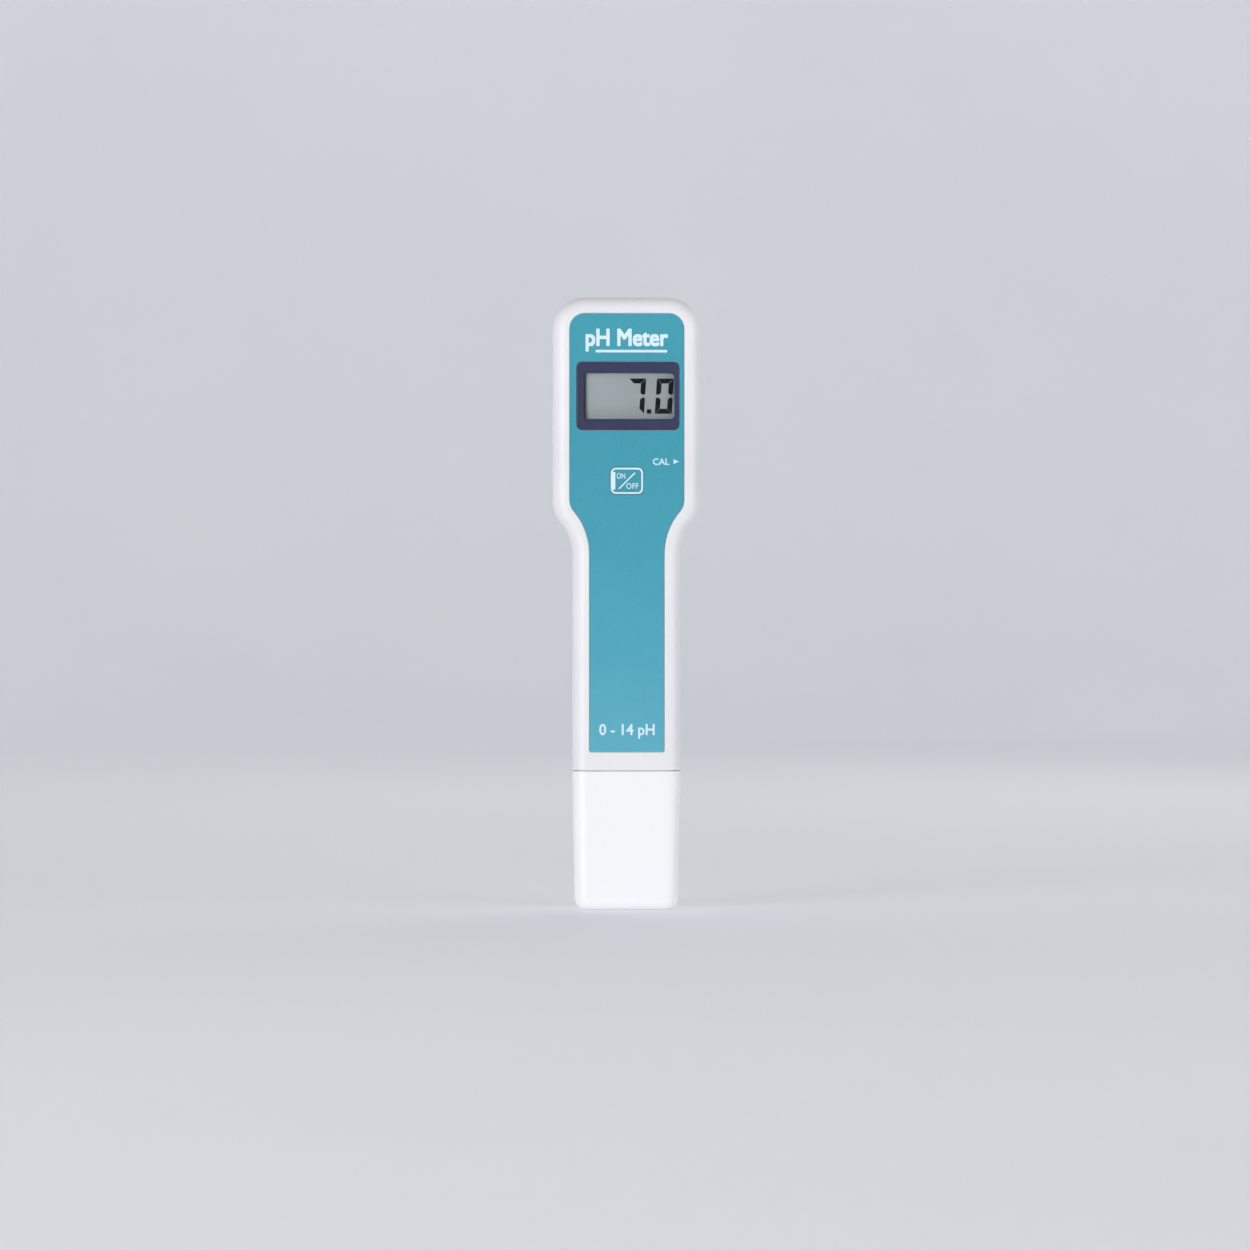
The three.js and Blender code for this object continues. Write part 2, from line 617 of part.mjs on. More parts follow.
// A slotted shroud around the bulb, with an open ring at its foot.
function probeGuard() {
  const shroud = rod("z", 7.1, [4.6, 23], [0, 0], 28);
  const sleeve = rod("z", probe.radius + 0.1, [probe.bottom - 0.4, 24], [0, 0], 28);
  const bulbRoom = rod("z", 5.3, [0, 18], [0, 0], 20);
  const windows = [0, 90].map((turn) => block([-2.6, 2.6], [-9, 9], [6.4, 14.6]).rotate([0, 0, turn]));
  return cut(shroud, sleeve, bulbRoom, ...windows);
}

function probeCable() {
  const y = -9;
  const end = board.front - fit;
  const lower = [
    [0, 0, probe.top - 1.5], [0, 0, probe.top + 0.2], [0, -0.8, 47.5], [0, -3, 48.1], [0, -6, 48.2],
    [0, -8.1, 48.9], [0, y, 50.8],
  ];
  const upper = [
    [0, y, 56], [0, y, 80], [0, y, 103], [0, y, 108.6], [0, -8.3, 110.4], [0, end - 1.5, 111], [0, end, 111],
  ];
  return wire([...lower, ...upper], 0.85, 34);
}

// ---- Cap ----

function protectiveCap() {
  const outside = tub(neckWidth, depth, edgeRadius, capFootRadius, [0, capHeight], 4);
  const hollowSize = [neckWidth - 2 * capWall, depth - 2 * capWall];
  const inside = tub(...hollowSize, edgeRadius - capWall + 0.2, 1.6, [1.9, capHeight + 2], 3);
  return cut(outside, inside);
}

// ---- Screws ----

// A pan-head self-tapping screw with a cross recess, driven towards the front.
function screw([x, z], headRadius, headBack, headDepth, shankRadius, tip) {
  const headFront = headBack - headDepth;
  const profile = [
    [0, 0], [headRadius, 0], [headRadius, headDepth * 0.55], [headRadius * 0.72, headDepth], [0, headDepth],
  ];
  const head = turned(profile, 14).rotate([-90, 0, 0]).translate(x, headFront, z);
  const shank = rod("y", shankRadius, [tip + 1, headFront + 0.2], [x, z], 8);
  const point = rod("y", shankRadius * 0.6, [tip, tip + 1.2], [x, z], 8);
  const arm = headRadius * 0.55;
  const cross = [[arm, 0.22], [0.22, arm]].map(([a, b]) =>
    block([x - a, x + a], [headBack - headDepth * 0.6, headBack + 1], [z - b, z + b]));
  return cut(join(head, shank, point), ...cross);
}

const caseScrew = (x, z) => screw([x, z], 2.3, backFace - 0.75, 1.75, 1.1, -8.2);
const boardScrew = (x, z) => screw([x, z], 2.1, board.back + 1.5, 1.45, 0.8, -9.2);

// ---- The object ----

const meter = new THREE.Group();

function add(name, material, shape) {
  const mesh = new THREE.Mesh(geometryOf(shape), materials[material]);
  mesh.name = name;
  meter.add(mesh);
}

add("front_shell", "whitePlastic", frontShell());
add("rear_shell", "whitePlastic", rearShell());
add("battery_door", "whitePlastic", batteryDoor());
add("door_pad", "foam", doorPad());
add("face_label", "tealFilm", faceLabel());
add("display_bezel", "navyPlastic", displayBezel());
add("display_lens", "clearPlastic", displayLens());
add("lcd_front_glass", "liquidCrystal", lcdFrontGlass());
add("lcd_rear_glass", "liquidCrystal", lcdRearGlass());
add("lcd_reflector", "silverFilm", lcdReflector());
add("lcd_carrier", "greyPlastic", lcdCarrier());
add("zebra_strip_lower", "greyRubber", zebraStrip(-1));
add("zebra_strip_upper", "greyRubber", zebraStrip(1));
add("main_board", "boardGreen", mainBoard());
add("power_key", "tealFilm", powerKey());
add("switch_housing", "blackPlastic", switchHousing());
add("switch_plate", "steel", switchPlate());
add("switch_plunger", "blackPlastic", switchPlunger());
add("trimmer_housing", "trimmerBlue", trimmerHousing());
add("trimmer_rotor", "brass", trimmerRotor());
add("meter_chip", "blackPlastic", meterChip());
add("amplifier_chip", "blackPlastic", amplifierChip());
add("film_capacitor_1", "filmCapacitor", filmCapacitor(6, 134));
add("film_capacitor_2", "filmCapacitor", filmCapacitor(-11.5, 151));
add("electrolytic_capacitor", "blackPlastic", electrolyticCapacitor());
add("resistor_1", "resistorBody", resistor(-1, 132));
add("resistor_2", "resistorBody", resistor(11.5, 151));
add("resistor_3", "resistorBody", resistor(15, 151));
add("battery_jacket", "batteryJacket", batteryJacket());
add("battery_top_plate", "blackPlastic", batteryTopPlate());
add("battery_stud", "nickel", positiveStud());
add("battery_socket", "nickel", negativeSocket());
add("clip_cover", "blackPlastic", clipCover());
add("clip_socket", "nickel", clipSocket());
add("clip_stud", "nickel", clipStud());
add("lead_positive", "redWire", batteryLead(-1));
add("lead_negative", "blackWire", batteryLead(1));
add("probe_cable", "greyWire", probeCable());
add("probe_collar", "whitePlastic", probeCollar());
add("collar_seal", "greyRubber", collarSeal());
add("probe_body", "probeEpoxy", probeBody());
add("glass_bulb", "glass", glassBulb());
add("silver_wire", "silver", silverWire());
add("reference_ring", "ceramic", referenceRing());
add("probe_guard", "probeGuard", probeGuard());
add("protective_cap", "whitePlastic", protectiveCap());
postHeights.forEach((z, row) =>
  [-postX, postX].forEach((x, side) => add(`case_screw_${2 * row + side + 1}`, "steel", caseScrew(x, z))));
boardPosts.forEach(([x, z], i) => add(`board_screw_${i + 1}`, "steel", boardScrew(x, z)));

export default meter;
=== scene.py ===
import json
import math

import bmesh
import bpy
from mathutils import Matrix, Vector


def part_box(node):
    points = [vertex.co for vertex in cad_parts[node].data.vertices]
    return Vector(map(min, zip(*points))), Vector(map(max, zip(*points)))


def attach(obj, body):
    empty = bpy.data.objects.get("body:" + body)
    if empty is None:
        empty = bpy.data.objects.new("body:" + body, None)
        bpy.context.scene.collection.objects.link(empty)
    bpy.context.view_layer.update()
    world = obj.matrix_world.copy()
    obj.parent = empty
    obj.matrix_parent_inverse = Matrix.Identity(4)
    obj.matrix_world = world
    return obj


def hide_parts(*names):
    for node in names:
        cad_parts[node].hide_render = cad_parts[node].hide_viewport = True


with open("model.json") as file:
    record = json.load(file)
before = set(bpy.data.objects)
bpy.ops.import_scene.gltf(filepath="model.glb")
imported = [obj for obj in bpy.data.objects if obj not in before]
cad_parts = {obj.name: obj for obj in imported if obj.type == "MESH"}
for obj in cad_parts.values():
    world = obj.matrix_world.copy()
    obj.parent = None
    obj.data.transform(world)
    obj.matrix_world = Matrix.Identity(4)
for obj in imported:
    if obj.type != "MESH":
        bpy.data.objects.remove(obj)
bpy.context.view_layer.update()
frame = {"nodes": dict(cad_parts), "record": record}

mm = 0.001
print("frame loaded:", len(frame["nodes"]), "nodes")


# ---------- drawing and shaping helpers ----------

def clearSelection():
    if bpy.context.object and bpy.context.object.mode != "OBJECT":
        bpy.ops.object.mode_set(mode="OBJECT")
    bpy.ops.object.select_all(action="DESELECT")


def workOn(piece, mode="OBJECT"):
    clearSelection()
    piece.select_set(True)
    bpy.context.view_layer.objects.active = piece
    if mode == "EDIT":
        bpy.ops.object.mode_set(mode="EDIT")


def finishEdit():
    bpy.ops.object.mode_set(mode="OBJECT")


# each plane: how a flat point and a level become a place, and the axis that turns a spin anticlockwise
planes = {
    "front": (lambda u, v, level: Vector((u, level, v)), (0, 1, 0)),
    "top": (lambda u, v, level: Vector((u, v, level)), (0, 0, -1)),
    "side": (lambda u, v, level: Vector((level, u, v)), (-1, 0, 0)),
}


def drawPath(name, plane, level, start, moves, fill=True):
    # a single vertex is extruded along lines and spun along arcs, the way a pen draws
    place, axis = planes[plane]
    clearSelection()
    bpy.ops.mesh.primitive_plane_add(size=mm, location=(0, 0, 0))
    piece = bpy.context.object
    piece.name = name
    bpy.ops.object.mode_set(mode="EDIT")
    bpy.ops.mesh.select_mode(type="VERT")
    bpy.ops.mesh.select_all(action="SELECT")
    bpy.ops.mesh.merge(type="CENTER")
    bpy.ops.transform.translate(value=place(*start, level))
    at = Vector(start)
    for kind, point, *turn in moves:
        point = Vector(point)
        if kind == "line":
            step = point - at
            if step.length < 1e-7:
                continue
            bpy.ops.mesh.extrude_region_move(TRANSFORM_OT_translate={"value": place(*step, 0)})
            at = point
        else:
            degrees, steps = turn
            angle = math.radians(degrees)
            bpy.ops.mesh.spin(steps=steps, angle=angle, center=place(*point, level), axis=axis)
            arm = at - point
            at = point + Vector((arm.x * math.cos(angle) - arm.y * math.sin(angle),
                                 arm.x * math.sin(angle) + arm.y * math.cos(angle)))
    bpy.ops.mesh.select_all(action="SELECT")
    bpy.ops.mesh.remove_doubles(threshold=0.003 * mm)
    if fill:
        bpy.ops.mesh.edge_face_add()
    finishEdit()
    return piece


def thicken(piece, offset):
    # the flat face becomes a closed block
    workOn(piece, "EDIT")
    bpy.ops.mesh.select_all(action="SELECT")
    bpy.ops.mesh.extrude_region_move(TRANSFORM_OT_translate={"value": offset})
    bpy.ops.mesh.select_all(action="SELECT")
    bpy.ops.mesh.normals_make_consistent(inside=False)
    finishEdit()
    return piece


def roundedPath(width, height, radius, steps, centre=(0, 0)):
    # start and moves of a rectangle with round corners
    u, v = width / 2, height / 2
    cu, cv = centre
    inner = [(u - radius, -v + radius), (u - radius, v - radius),
             (-u + radius, v - radius), (-u + radius, -v + radius)]
    ends = [(u, v - radius), (-u + radius, v), (-u, -v + radius), (u - radius, -v)]
    moves = []
    for corner, end in zip(inner, ends):
        moves.append(("arc", (corner[0] + cu, corner[1] + cv), 90, steps))
        moves.append(("line", (end[0] + cu, end[1] + cv)))
    return (cu + u - radius, cv - v), moves


def roundedPlate(name, plane, level, thickness, width, height, radius, steps=6, centre=(0, 0)):
    start, moves = roundedPath(width, height, radius, steps, centre)
    piece = drawPath(name, plane, level, start, moves)
    return thicken(piece, planes[plane][0](0, 0, thickness))


def boxBlock(name, xs, ys, zs):
    clearSelection()
    middle = [(a + b) / 2 for a, b in (xs, ys, zs)]
    bpy.ops.mesh.primitive_cube_add(size=1, location=middle)
    piece = bpy.context.object
    piece.name = name
    piece.scale = [b - a for a, b in (xs, ys, zs)]
    bpy.ops.object.transform_apply(location=True, rotation=True, scale=True)
    return piece


def rod(name, axis, radius, reach, place, sides=32, tipRadius=None):
    # a round rod along an axis, from reach[0] to reach[1], at a place on the other two axes
    clearSelection()
    length = reach[1] - reach[0]
    middle = (reach[0] + reach[1]) / 2
    turns = {"x": ((0, math.pi / 2, 0), (middle, *place)),
             "y": ((-math.pi / 2, 0, 0), (place[0], middle, place[1])),
             "z": ((0, 0, 0), (*place, middle))}
    rotation, location = turns[axis]
    bpy.ops.mesh.primitive_cone_add(
        vertices=sides, radius1=radius, radius2=tipRadius or radius, depth=length,
        location=location, rotation=rotation)
    piece = bpy.context.object
    piece.name = name
    bpy.ops.object.transform_apply(location=True, rotation=True, scale=True)
    return piece


def useModifier(piece, kind, **settings):
    workOn(piece)
    bpy.ops.object.modifier_add(type=kind)
    modifier = piece.modifiers[-1]
    for setting, value in settings.items():
        setattr(modifier, setting, value)
    bpy.ops.object.modifier_apply(modifier=modifier.name)


def carve(piece, *tools, operation="DIFFERENCE"):
    for tool in tools:
        useModifier(piece, "BOOLEAN", operation=operation, object=tool, solver="EXACT")
        bpy.data.objects.remove(tool)
    return piece


def weld(piece, *tools):
    return carve(piece, *tools, operation="UNION")


def selectEdges(piece, test, least=0.0):
    # inside edit mode: the edges that pass a test and turn by at least an angle
    bpy.ops.mesh.select_mode(type="EDGE")
    bpy.ops.mesh.select_all(action="DESELECT")
    mesh = bmesh.from_edit_mesh(piece.data)
    for edge in mesh.edges:
        turn = edge.calc_face_angle(0) if len(edge.link_faces) == 2 else 0
        if turn >= least and test(*[v.co for v in edge.verts]):
            edge.select_set(True)
    bmesh.update_edit_mesh(piece.data)


def roundEdges(piece, test, width, segments=2, least=0.5, profile=0.5):
    workOn(piece, "EDIT")
    selectEdges(piece, test, least)
    bpy.ops.mesh.bevel(offset=width, offset_type="OFFSET", segments=segments, profile=profile,
                       affect="EDGES", clamp_overlap=False)
    finishEdit()


def selectFaces(piece, test):
    bpy.ops.mesh.select_mode(type="FACE")
    bpy.ops.mesh.select_all(action="DESELECT")
    mesh = bmesh.from_edit_mesh(piece.data)
    for face in mesh.faces:
        face.select_set(bool(test(face.calc_center_median(), face.normal)))
    bmesh.update_edit_mesh(piece.data)


def near(value, level, slack=0.01 * mm):
    return abs(value - level) < slack


def levelTest(axis, level, slack=0.01 * mm):
    # true for an edge that lies whole in one level of an axis
    index = "xyz".index(axis)
    return lambda a, b: near(a[index], level, slack) and near(b[index], level, slack)


def cleanUp(piece, angle=35, weighted=True):
    # merges doubles, faces the surface outwards and shades it smooth up to an angle
    workOn(piece, "EDIT")
    bpy.ops.mesh.select_all(action="SELECT")
    bpy.ops.mesh.remove_doubles(threshold=0.0005 * mm)
    bpy.ops.mesh.normals_make_consistent(inside=False)
    finishEdit()
    bpy.ops.object.shade_smooth_by_angle(angle=math.radians(angle))
    if weighted:
        useModifier(piece, "WEIGHTED_NORMAL", keep_sharp=True, weight=60)
    return piece


def finishPiece(piece, body, slot, material, *replaced, angle=35, weighted=True):
    cleanUp(piece, angle, weighted)
    piece.data.materials.clear()
    piece.data.materials.append(material)
    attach(piece, body)
    if replaced:
        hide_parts(*replaced)
    return piece


# ---------- camera, floor and light ----------

cameraPlan = {"lens": 135, "sensor": 36, "frameHeight": 356.8 * mm, "frameDepth": -10 * mm,
              "eyeHeight": 81.4 * mm, "aside": -0.28 * mm, "turn": -1.3}


def placeCamera():
    plan = cameraPlan
    distance = plan["lens"] / plan["sensor"] * plan["frameHeight"] - plan["frameDepth"]
    turn = math.radians(plan["turn"])
    place = (distance * math.sin(turn) + plan["aside"], -distance * math.cos(turn), plan["eyeHeight"])
    bpy.ops.object.camera_add(location=place, rotation=(math.pi / 2, 0, turn))
    camera = bpy.context.object
    camera.data.lens = plan["lens"]
    camera.data.sensor_width = plan["sensor"]
    camera.data.clip_start = 0.01
    bpy.context.scene.camera = camera


clearSelection()
placeCamera()
print("camera placed")


# ---------- shader tools ----------

def srgb(red, green, blue):
    def linear(value):
        value /= 255
        return value / 12.92 if value <= 0.04045 else ((value + 0.055) / 1.055) ** 2.4
    return (linear(red), linear(green), linear(blue), 1)


def addNode(tree, kind, inputs=None, **settings):
    node = tree.nodes.new(kind)
    for setting, value in settings.items():
        setattr(node, setting, value)
    for socket, value in (inputs or {}).items():
        if isinstance(value, bpy.types.NodeSocket):
            tree.links.new(value, node.inputs[socket])
        else:
            node.inputs[socket].default_value = value
    return node


def maths(tree, operation, first, second):
    return addNode(tree, "ShaderNodeMath", {0: first, 1: second}, operation=operation).outputs[0]


def blendColour(tree, amount, first, second):
    node = addNode(tree, "ShaderNodeMix", {"Factor": amount}, data_type="RGBA")
    givenColours = [socket for socket in node.inputs if socket.type == "RGBA"]
    for socket, value in zip(givenColours, (first, second)):
        if isinstance(value, bpy.types.NodeSocket):
            tree.links.new(value, socket)
        else:
            socket.default_value = value
    return [socket for socket in node.outputs if socket.type == "RGBA"][0]


def newGroup(name, inputs, outputs):
    group = bpy.data.node_groups.new(name, "ShaderNodeTree")
    for label, kind, value in inputs:
        socket = group.interface.new_socket(label, in_out="INPUT", socket_type=kind)
        if value is not None:
            socket.default_value = value
    for label, kind in outputs:
        group.interface.new_socket(label, in_out="OUTPUT", socket_type=kind)
    source = group.nodes.new("NodeGroupInput")
    sink = group.nodes.new("NodeGroupOutput")
    return group, source.outputs, sink.inputs


def remap(tree, value, low, high, newLow=0.0, newHigh=1.0):
    node = addNode(tree, "ShaderNodeMapRange", {"Value": value, "From Min": low, "From Max": high,
                                                "To Min": newLow, "To Max": newHigh})
    return node.outputs[0]


def makeMottleGroup():
    # slow drift of tone over a surface, and fine grain for bump and roughness
    group, given, result = newGroup("mottle", [
        ("Vector", "NodeSocketVector", None), ("Drift Scale", "NodeSocketFloat", 40.0),
        ("Grain Scale", "NodeSocketFloat", 4000.0)],
        [("Drift", "NodeSocketFloat"), ("Grain", "NodeSocketFloat")])
    drift = addNode(group, "ShaderNodeTexNoise", {"Vector": given["Vector"], "Scale": given["Drift Scale"],
                                                  "Detail": 3.0, "Roughness": 0.55})
    grain = addNode(group, "ShaderNodeTexNoise", {"Vector": given["Vector"], "Scale": given["Grain Scale"],
                                                  "Detail": 2.0, "Roughness": 0.6})
    group.links.new(remap(group, drift.outputs["Fac"], 0.3, 0.7), result["Drift"])
    group.links.new(grain.outputs["Fac"], result["Grain"])
    return group


def makeEdgeGroup():
    # where a surface turns sharply outwards, from how far a rounded normal leans off the true one
    group, given, result = newGroup("edgeWear", [
        ("Vector", "NodeSocketVector", None), ("Radius", "NodeSocketFloat", 0.4 * mm),
        ("Break Up", "NodeSocketFloat", 900.0)], [("Mask", "NodeSocketFloat")])
    rounded = addNode(group, "ShaderNodeBevel", {"Radius": given["Radius"]}, samples=4)
    true = group.nodes.new("ShaderNodeNewGeometry")
    lean = addNode(group, "ShaderNodeVectorMath", {0: rounded.outputs[0], 1: true.outputs["Normal"]},
                   operation="DOT_PRODUCT")
    edge = remap(group, lean.outputs["Value"], 0.99, 0.86)
    broken = addNode(group, "ShaderNodeTexNoise", {"Vector": given["Vector"], "Scale": given["Break Up"],
                                                   "Detail": 2.0})
    uneven = remap(group, broken.outputs["Fac"], 0.35, 0.65)
    group.links.new(maths(group, "MULTIPLY", edge, uneven), result["Mask"])
    return group


def makeSoilAndShadeGroup():
    # dust that lies on faces that look up, and grime with painted shade in narrow gaps: the gap mask is ambient
    # occlusion, so it darkens where shade falls
    group, given, result = newGroup("soilAndShade", [
        ("Vector", "NodeSocketVector", None), ("Reach", "NodeSocketFloat", 1.2 * mm),
        ("Patch Scale", "NodeSocketFloat", 260.0)],
        [("Gap", "NodeSocketFloat"), ("Dust", "NodeSocketFloat")])
    shelter = addNode(group, "ShaderNodeAmbientOcclusion", {"Distance": given["Reach"]}, samples=4)
    patch = addNode(group, "ShaderNodeTexNoise", {"Vector": given["Vector"], "Scale": given["Patch Scale"],
                                                  "Detail": 4.0})
    uneven = remap(group, patch.outputs["Fac"], 0.3, 0.7, 0.4, 1.0)
    gap = remap(group, shelter.outputs["AO"], 0.75, 0.25)
    group.links.new(maths(group, "MULTIPLY", gap, uneven), result["Gap"])
    facing = group.nodes.new("ShaderNodeNewGeometry")
    split = addNode(group, "ShaderNodeSeparateXYZ", {0: facing.outputs["Normal"]})
    upward = remap(group, split.outputs["Z"], 0.5, 1.0)
    group.links.new(maths(group, "MULTIPLY", upward, uneven), result["Dust"])
    return group


mottleGroup = makeMottleGroup()
edgeGroup = makeEdgeGroup()
soilAndShadeGroup = makeSoilAndShadeGroup()


def placeGroup(tree, group, inputs):
    return addNode(tree, "ShaderNodeGroup", inputs, node_tree=group).outputs


def startMaterial(name):
    material = bpy.data.materials.new(name)
    material.use_nodes = True
    tree = material.node_tree
    shader = tree.nodes["Principled BSDF"]
    where = tree.nodes.new("ShaderNodeTexCoord").outputs["Object"]
    return material, tree, shader, where


def mouldedPlastic(name, colour, tint, roughness=0.4, grainScale=5000.0, grainDepth=0.004, wearColour=None,
                   wear=0.25, soilAndShade=0.2, dust=0.12, coat=0.0, driftAmount=1.0, under=0.0):
    # one moulded plastic: tone drift, fine mould grain, paler rubbed edges, grime and painted shade in the gaps, a
    # little dust
    material, tree, shader, where = startMaterial(name)
    mottle = placeGroup(tree, mottleGroup, {"Vector": where, "Drift Scale": 45.0, "Grain Scale": grainScale})
    edges = placeGroup(tree, edgeGroup, {"Vector": where})
    soiledAndShaded = placeGroup(tree, soilAndShadeGroup, {"Vector": where})
    base = blendColour(tree, maths(tree, "MULTIPLY", mottle["Drift"], driftAmount), colour, tint)
    rubbed = blendColour(tree, maths(tree, "MULTIPLY", edges["Mask"], wear), base,
                         wearColour or srgb(252, 252, 252))
    # grime colour laid by the ambient-occlusion gap mask: painted shade in seams and gaps as well as grime
    gapShadedAndGrimy = blendColour(tree, maths(tree, "MULTIPLY", soiledAndShaded["Gap"], soilAndShade), rubbed, srgb(120, 116, 110))
    dusty = blendColour(tree, maths(tree, "MULTIPLY", soiledAndShaded["Dust"], dust), gapShadedAndGrimy, srgb(196, 192, 186))
    tree.links.new(dusty, shader.inputs["Base Color"])
    rough = remap(tree, mottle["Grain"], 0.3, 0.7, roughness - 0.05, roughness + 0.06)
    worn = maths(tree, "MULTIPLY", edges["Mask"], -0.1)
    tree.links.new(maths(tree, "ADD", rough, worn), shader.inputs["Roughness"])
    bump = addNode(tree, "ShaderNodeBump", {"Height": mottle["Grain"], "Strength": 0.35,
                                            "Distance": grainDepth * mm})
    tree.links.new(bump.outputs["Normal"], shader.inputs["Normal"])
    shader.inputs["Coat Weight"].default_value = coat
    if under:
        shader.inputs["Subsurface Weight"].default_value = under
        shader.inputs["Subsurface Radius"].default_value = (1, 0.95, 0.9)
        shader.inputs["Subsurface Scale"].default_value = 0.6 * mm
    return material


housingPlastic = mouldedPlastic("housingPlastic", srgb(242, 241, 243), srgb(236, 236, 239), roughness=0.42,
                                grainDepth=0.006, soilAndShade=0.08, under=0.12)
capPlastic = mouldedPlastic("capPlastic", srgb(252, 252, 253), srgb(249, 250, 252), roughness=0.36,
                            grainDepth=0.004, soilAndShade=0.08, under=0.2)
keyPlastic = mouldedPlastic("keyPlastic", srgb(64, 156, 176), srgb(58, 150, 170), roughness=0.34, grainDepth=0.004,
                            wearColour=srgb(126, 196, 214), wear=0.35, soilAndShade=0.2, dust=0.05)
bezelPlastic = mouldedPlastic("bezelPlastic", srgb(46, 52, 87), srgb(41, 47, 81), roughness=0.32, grainDepth=0.003,
                              wearColour=srgb(108, 114, 142), wear=0.3, soilAndShade=0.2, dust=0.08)
greyPlastic = mouldedPlastic("greyPlastic", srgb(128, 131, 136), srgb(118, 121, 127), roughness=0.5)
blackPlastic = mouldedPlastic("blackPlastic", srgb(30, 31, 33), srgb(38, 39, 42), roughness=0.48,
                              wearColour=srgb(90, 92, 96), dust=0.2)
trimmerPlastic = mouldedPlastic("trimmerPlastic", srgb(32, 78, 150), srgb(26, 68, 138), roughness=0.4,
                                wearColour=srgb(110, 150, 205))
capacitorResin = mouldedPlastic("capacitorResin", srgb(142, 46, 36), srgb(124, 38, 30), roughness=0.3,
                                grainScale=1500, grainDepth=0.02, wearColour=srgb(190, 96, 84))
batteryInsulator = mouldedPlastic("batteryInsulator", srgb(36, 33, 30), srgb(52, 47, 42), roughness=0.66,
                                  grainScale=1400, grainDepth=0.02, wearColour=srgb(96, 88, 80))
redInsulation = mouldedPlastic("redInsulation", srgb(178, 34, 32), srgb(158, 28, 28), roughness=0.38,
                               wearColour=srgb(214, 96, 92))
blackInsulation = mouldedPlastic("blackInsulation", srgb(26, 26, 28), srgb(36, 36, 39), roughness=0.4,
                                 wearColour=srgb(84, 84, 88))
greyInsulation = mouldedPlastic("greyInsulation", srgb(108, 110, 113), srgb(96, 98, 102), roughness=0.42)
contactRubber = mouldedPlastic("contactRubber", srgb(40, 40, 42), srgb(54, 54, 57), roughness=0.72, grainDepth=0.01,
                               wearColour=srgb(70, 70, 74))
# this rubber also colours the painted shadow strip beside the display window
sealRubberAndPaintedShadow = mouldedPlastic("sealRubberAndPaintedShadow", srgb(34, 35, 37), srgb(44, 45, 48), roughness=0.6, grainDepth=0.01,
                            wearColour=srgb(78, 80, 84), wear=0.2, dust=0.25)
probeEpoxy = mouldedPlastic("probeEpoxy", srgb(52, 72, 104), srgb(46, 64, 95), roughness=0.28, grainDepth=0.003,
                            wearColour=srgb(96, 118, 150), coat=0.2)
guardPlastic = mouldedPlastic("guardPlastic", srgb(44, 46, 50), srgb(52, 54, 59), roughness=0.44,
                              wearColour=srgb(104, 107, 112))
printInk = mouldedPlastic("printInk", srgb(226, 246, 252), srgb(210, 238, 247), roughness=0.45, grainDepth=0.002,
                          wearColour=srgb(196, 230, 240), wear=0.1, soilAndShade=0.1, dust=0.0)
segmentInk = mouldedPlastic("segmentInk", srgb(7, 8, 11), srgb(13, 14, 19), roughness=0.55, wear=0.0, soilAndShade=0.0,
                            dust=0.0)
segmentInk.node_tree.nodes["Principled BSDF"].inputs["Specular IOR Level"].default_value = 0.1


def ramp(tree, value, stops):
    node = addNode(tree, "ShaderNodeValToRGB", {"Fac": value})
    points = node.color_ramp.elements
    while len(points) < len(stops):
        points.new(0.5)
    for point, (at, colour) in zip(points, stops):
        point.position = at
        point.color = colour
    return node.outputs["Color"]


def axisOf(tree, vector, axis):
    return addNode(tree, "ShaderNodeSeparateXYZ", {0: vector}).outputs[axis]


def makeLabelFilm():
    # a printed film whose tone rises a little towards the foot, with a fine satin texture
    material, tree, shader, where = startMaterial("labelFilm")
    height = remap(tree, axisOf(tree, where, "Z"), 45 * mm, 171 * mm)
    tone = ramp(tree, height, [(0.0, srgb(92, 178, 199)), (0.22, srgb(76, 168, 189)), (0.45, srgb(62, 160, 180)),
                               (0.75, srgb(52, 154, 173)), (1.0, srgb(58, 159, 178))])
    mottle = placeGroup(tree, mottleGroup, {"Vector": where, "Drift Scale": 130.0, "Grain Scale": 2600.0})
    edges = placeGroup(tree, edgeGroup, {"Vector": where, "Radius": 0.15 * mm})
    soiledAndShaded = placeGroup(tree, soilAndShadeGroup, {"Vector": where, "Reach": 0.9 * mm})
    shifted = blendColour(tree, maths(tree, "MULTIPLY", mottle["Drift"], 0.16), tone, srgb(60, 148, 170))
    speckled = blendColour(tree, remap(tree, mottle["Grain"], 0.45, 0.75, 0.0, 0.12), shifted, srgb(120, 196, 214))
    rubbed = blendColour(tree, maths(tree, "MULTIPLY", edges["Mask"], 0.35), speckled, srgb(150, 206, 220))
    # painted shade: the ambient-occlusion gap mask darkens the film where shade falls at its edges and openings
    gapShadedAndGrimy = blendColour(tree, maths(tree, "MULTIPLY", soiledAndShaded["Gap"], 0.3), rubbed, srgb(48, 96, 110))
    tree.links.new(gapShadedAndGrimy, shader.inputs["Base Color"])
    tree.links.new(remap(tree, mottle["Grain"], 0.3, 0.7, 0.34, 0.44), shader.inputs["Roughness"])
    bump = addNode(tree, "ShaderNodeBump", {"Height": mottle["Grain"], "Strength": 0.3, "Distance": 0.004 * mm})
    tree.links.new(bump.outputs["Normal"], shader.inputs["Normal"])
    return material


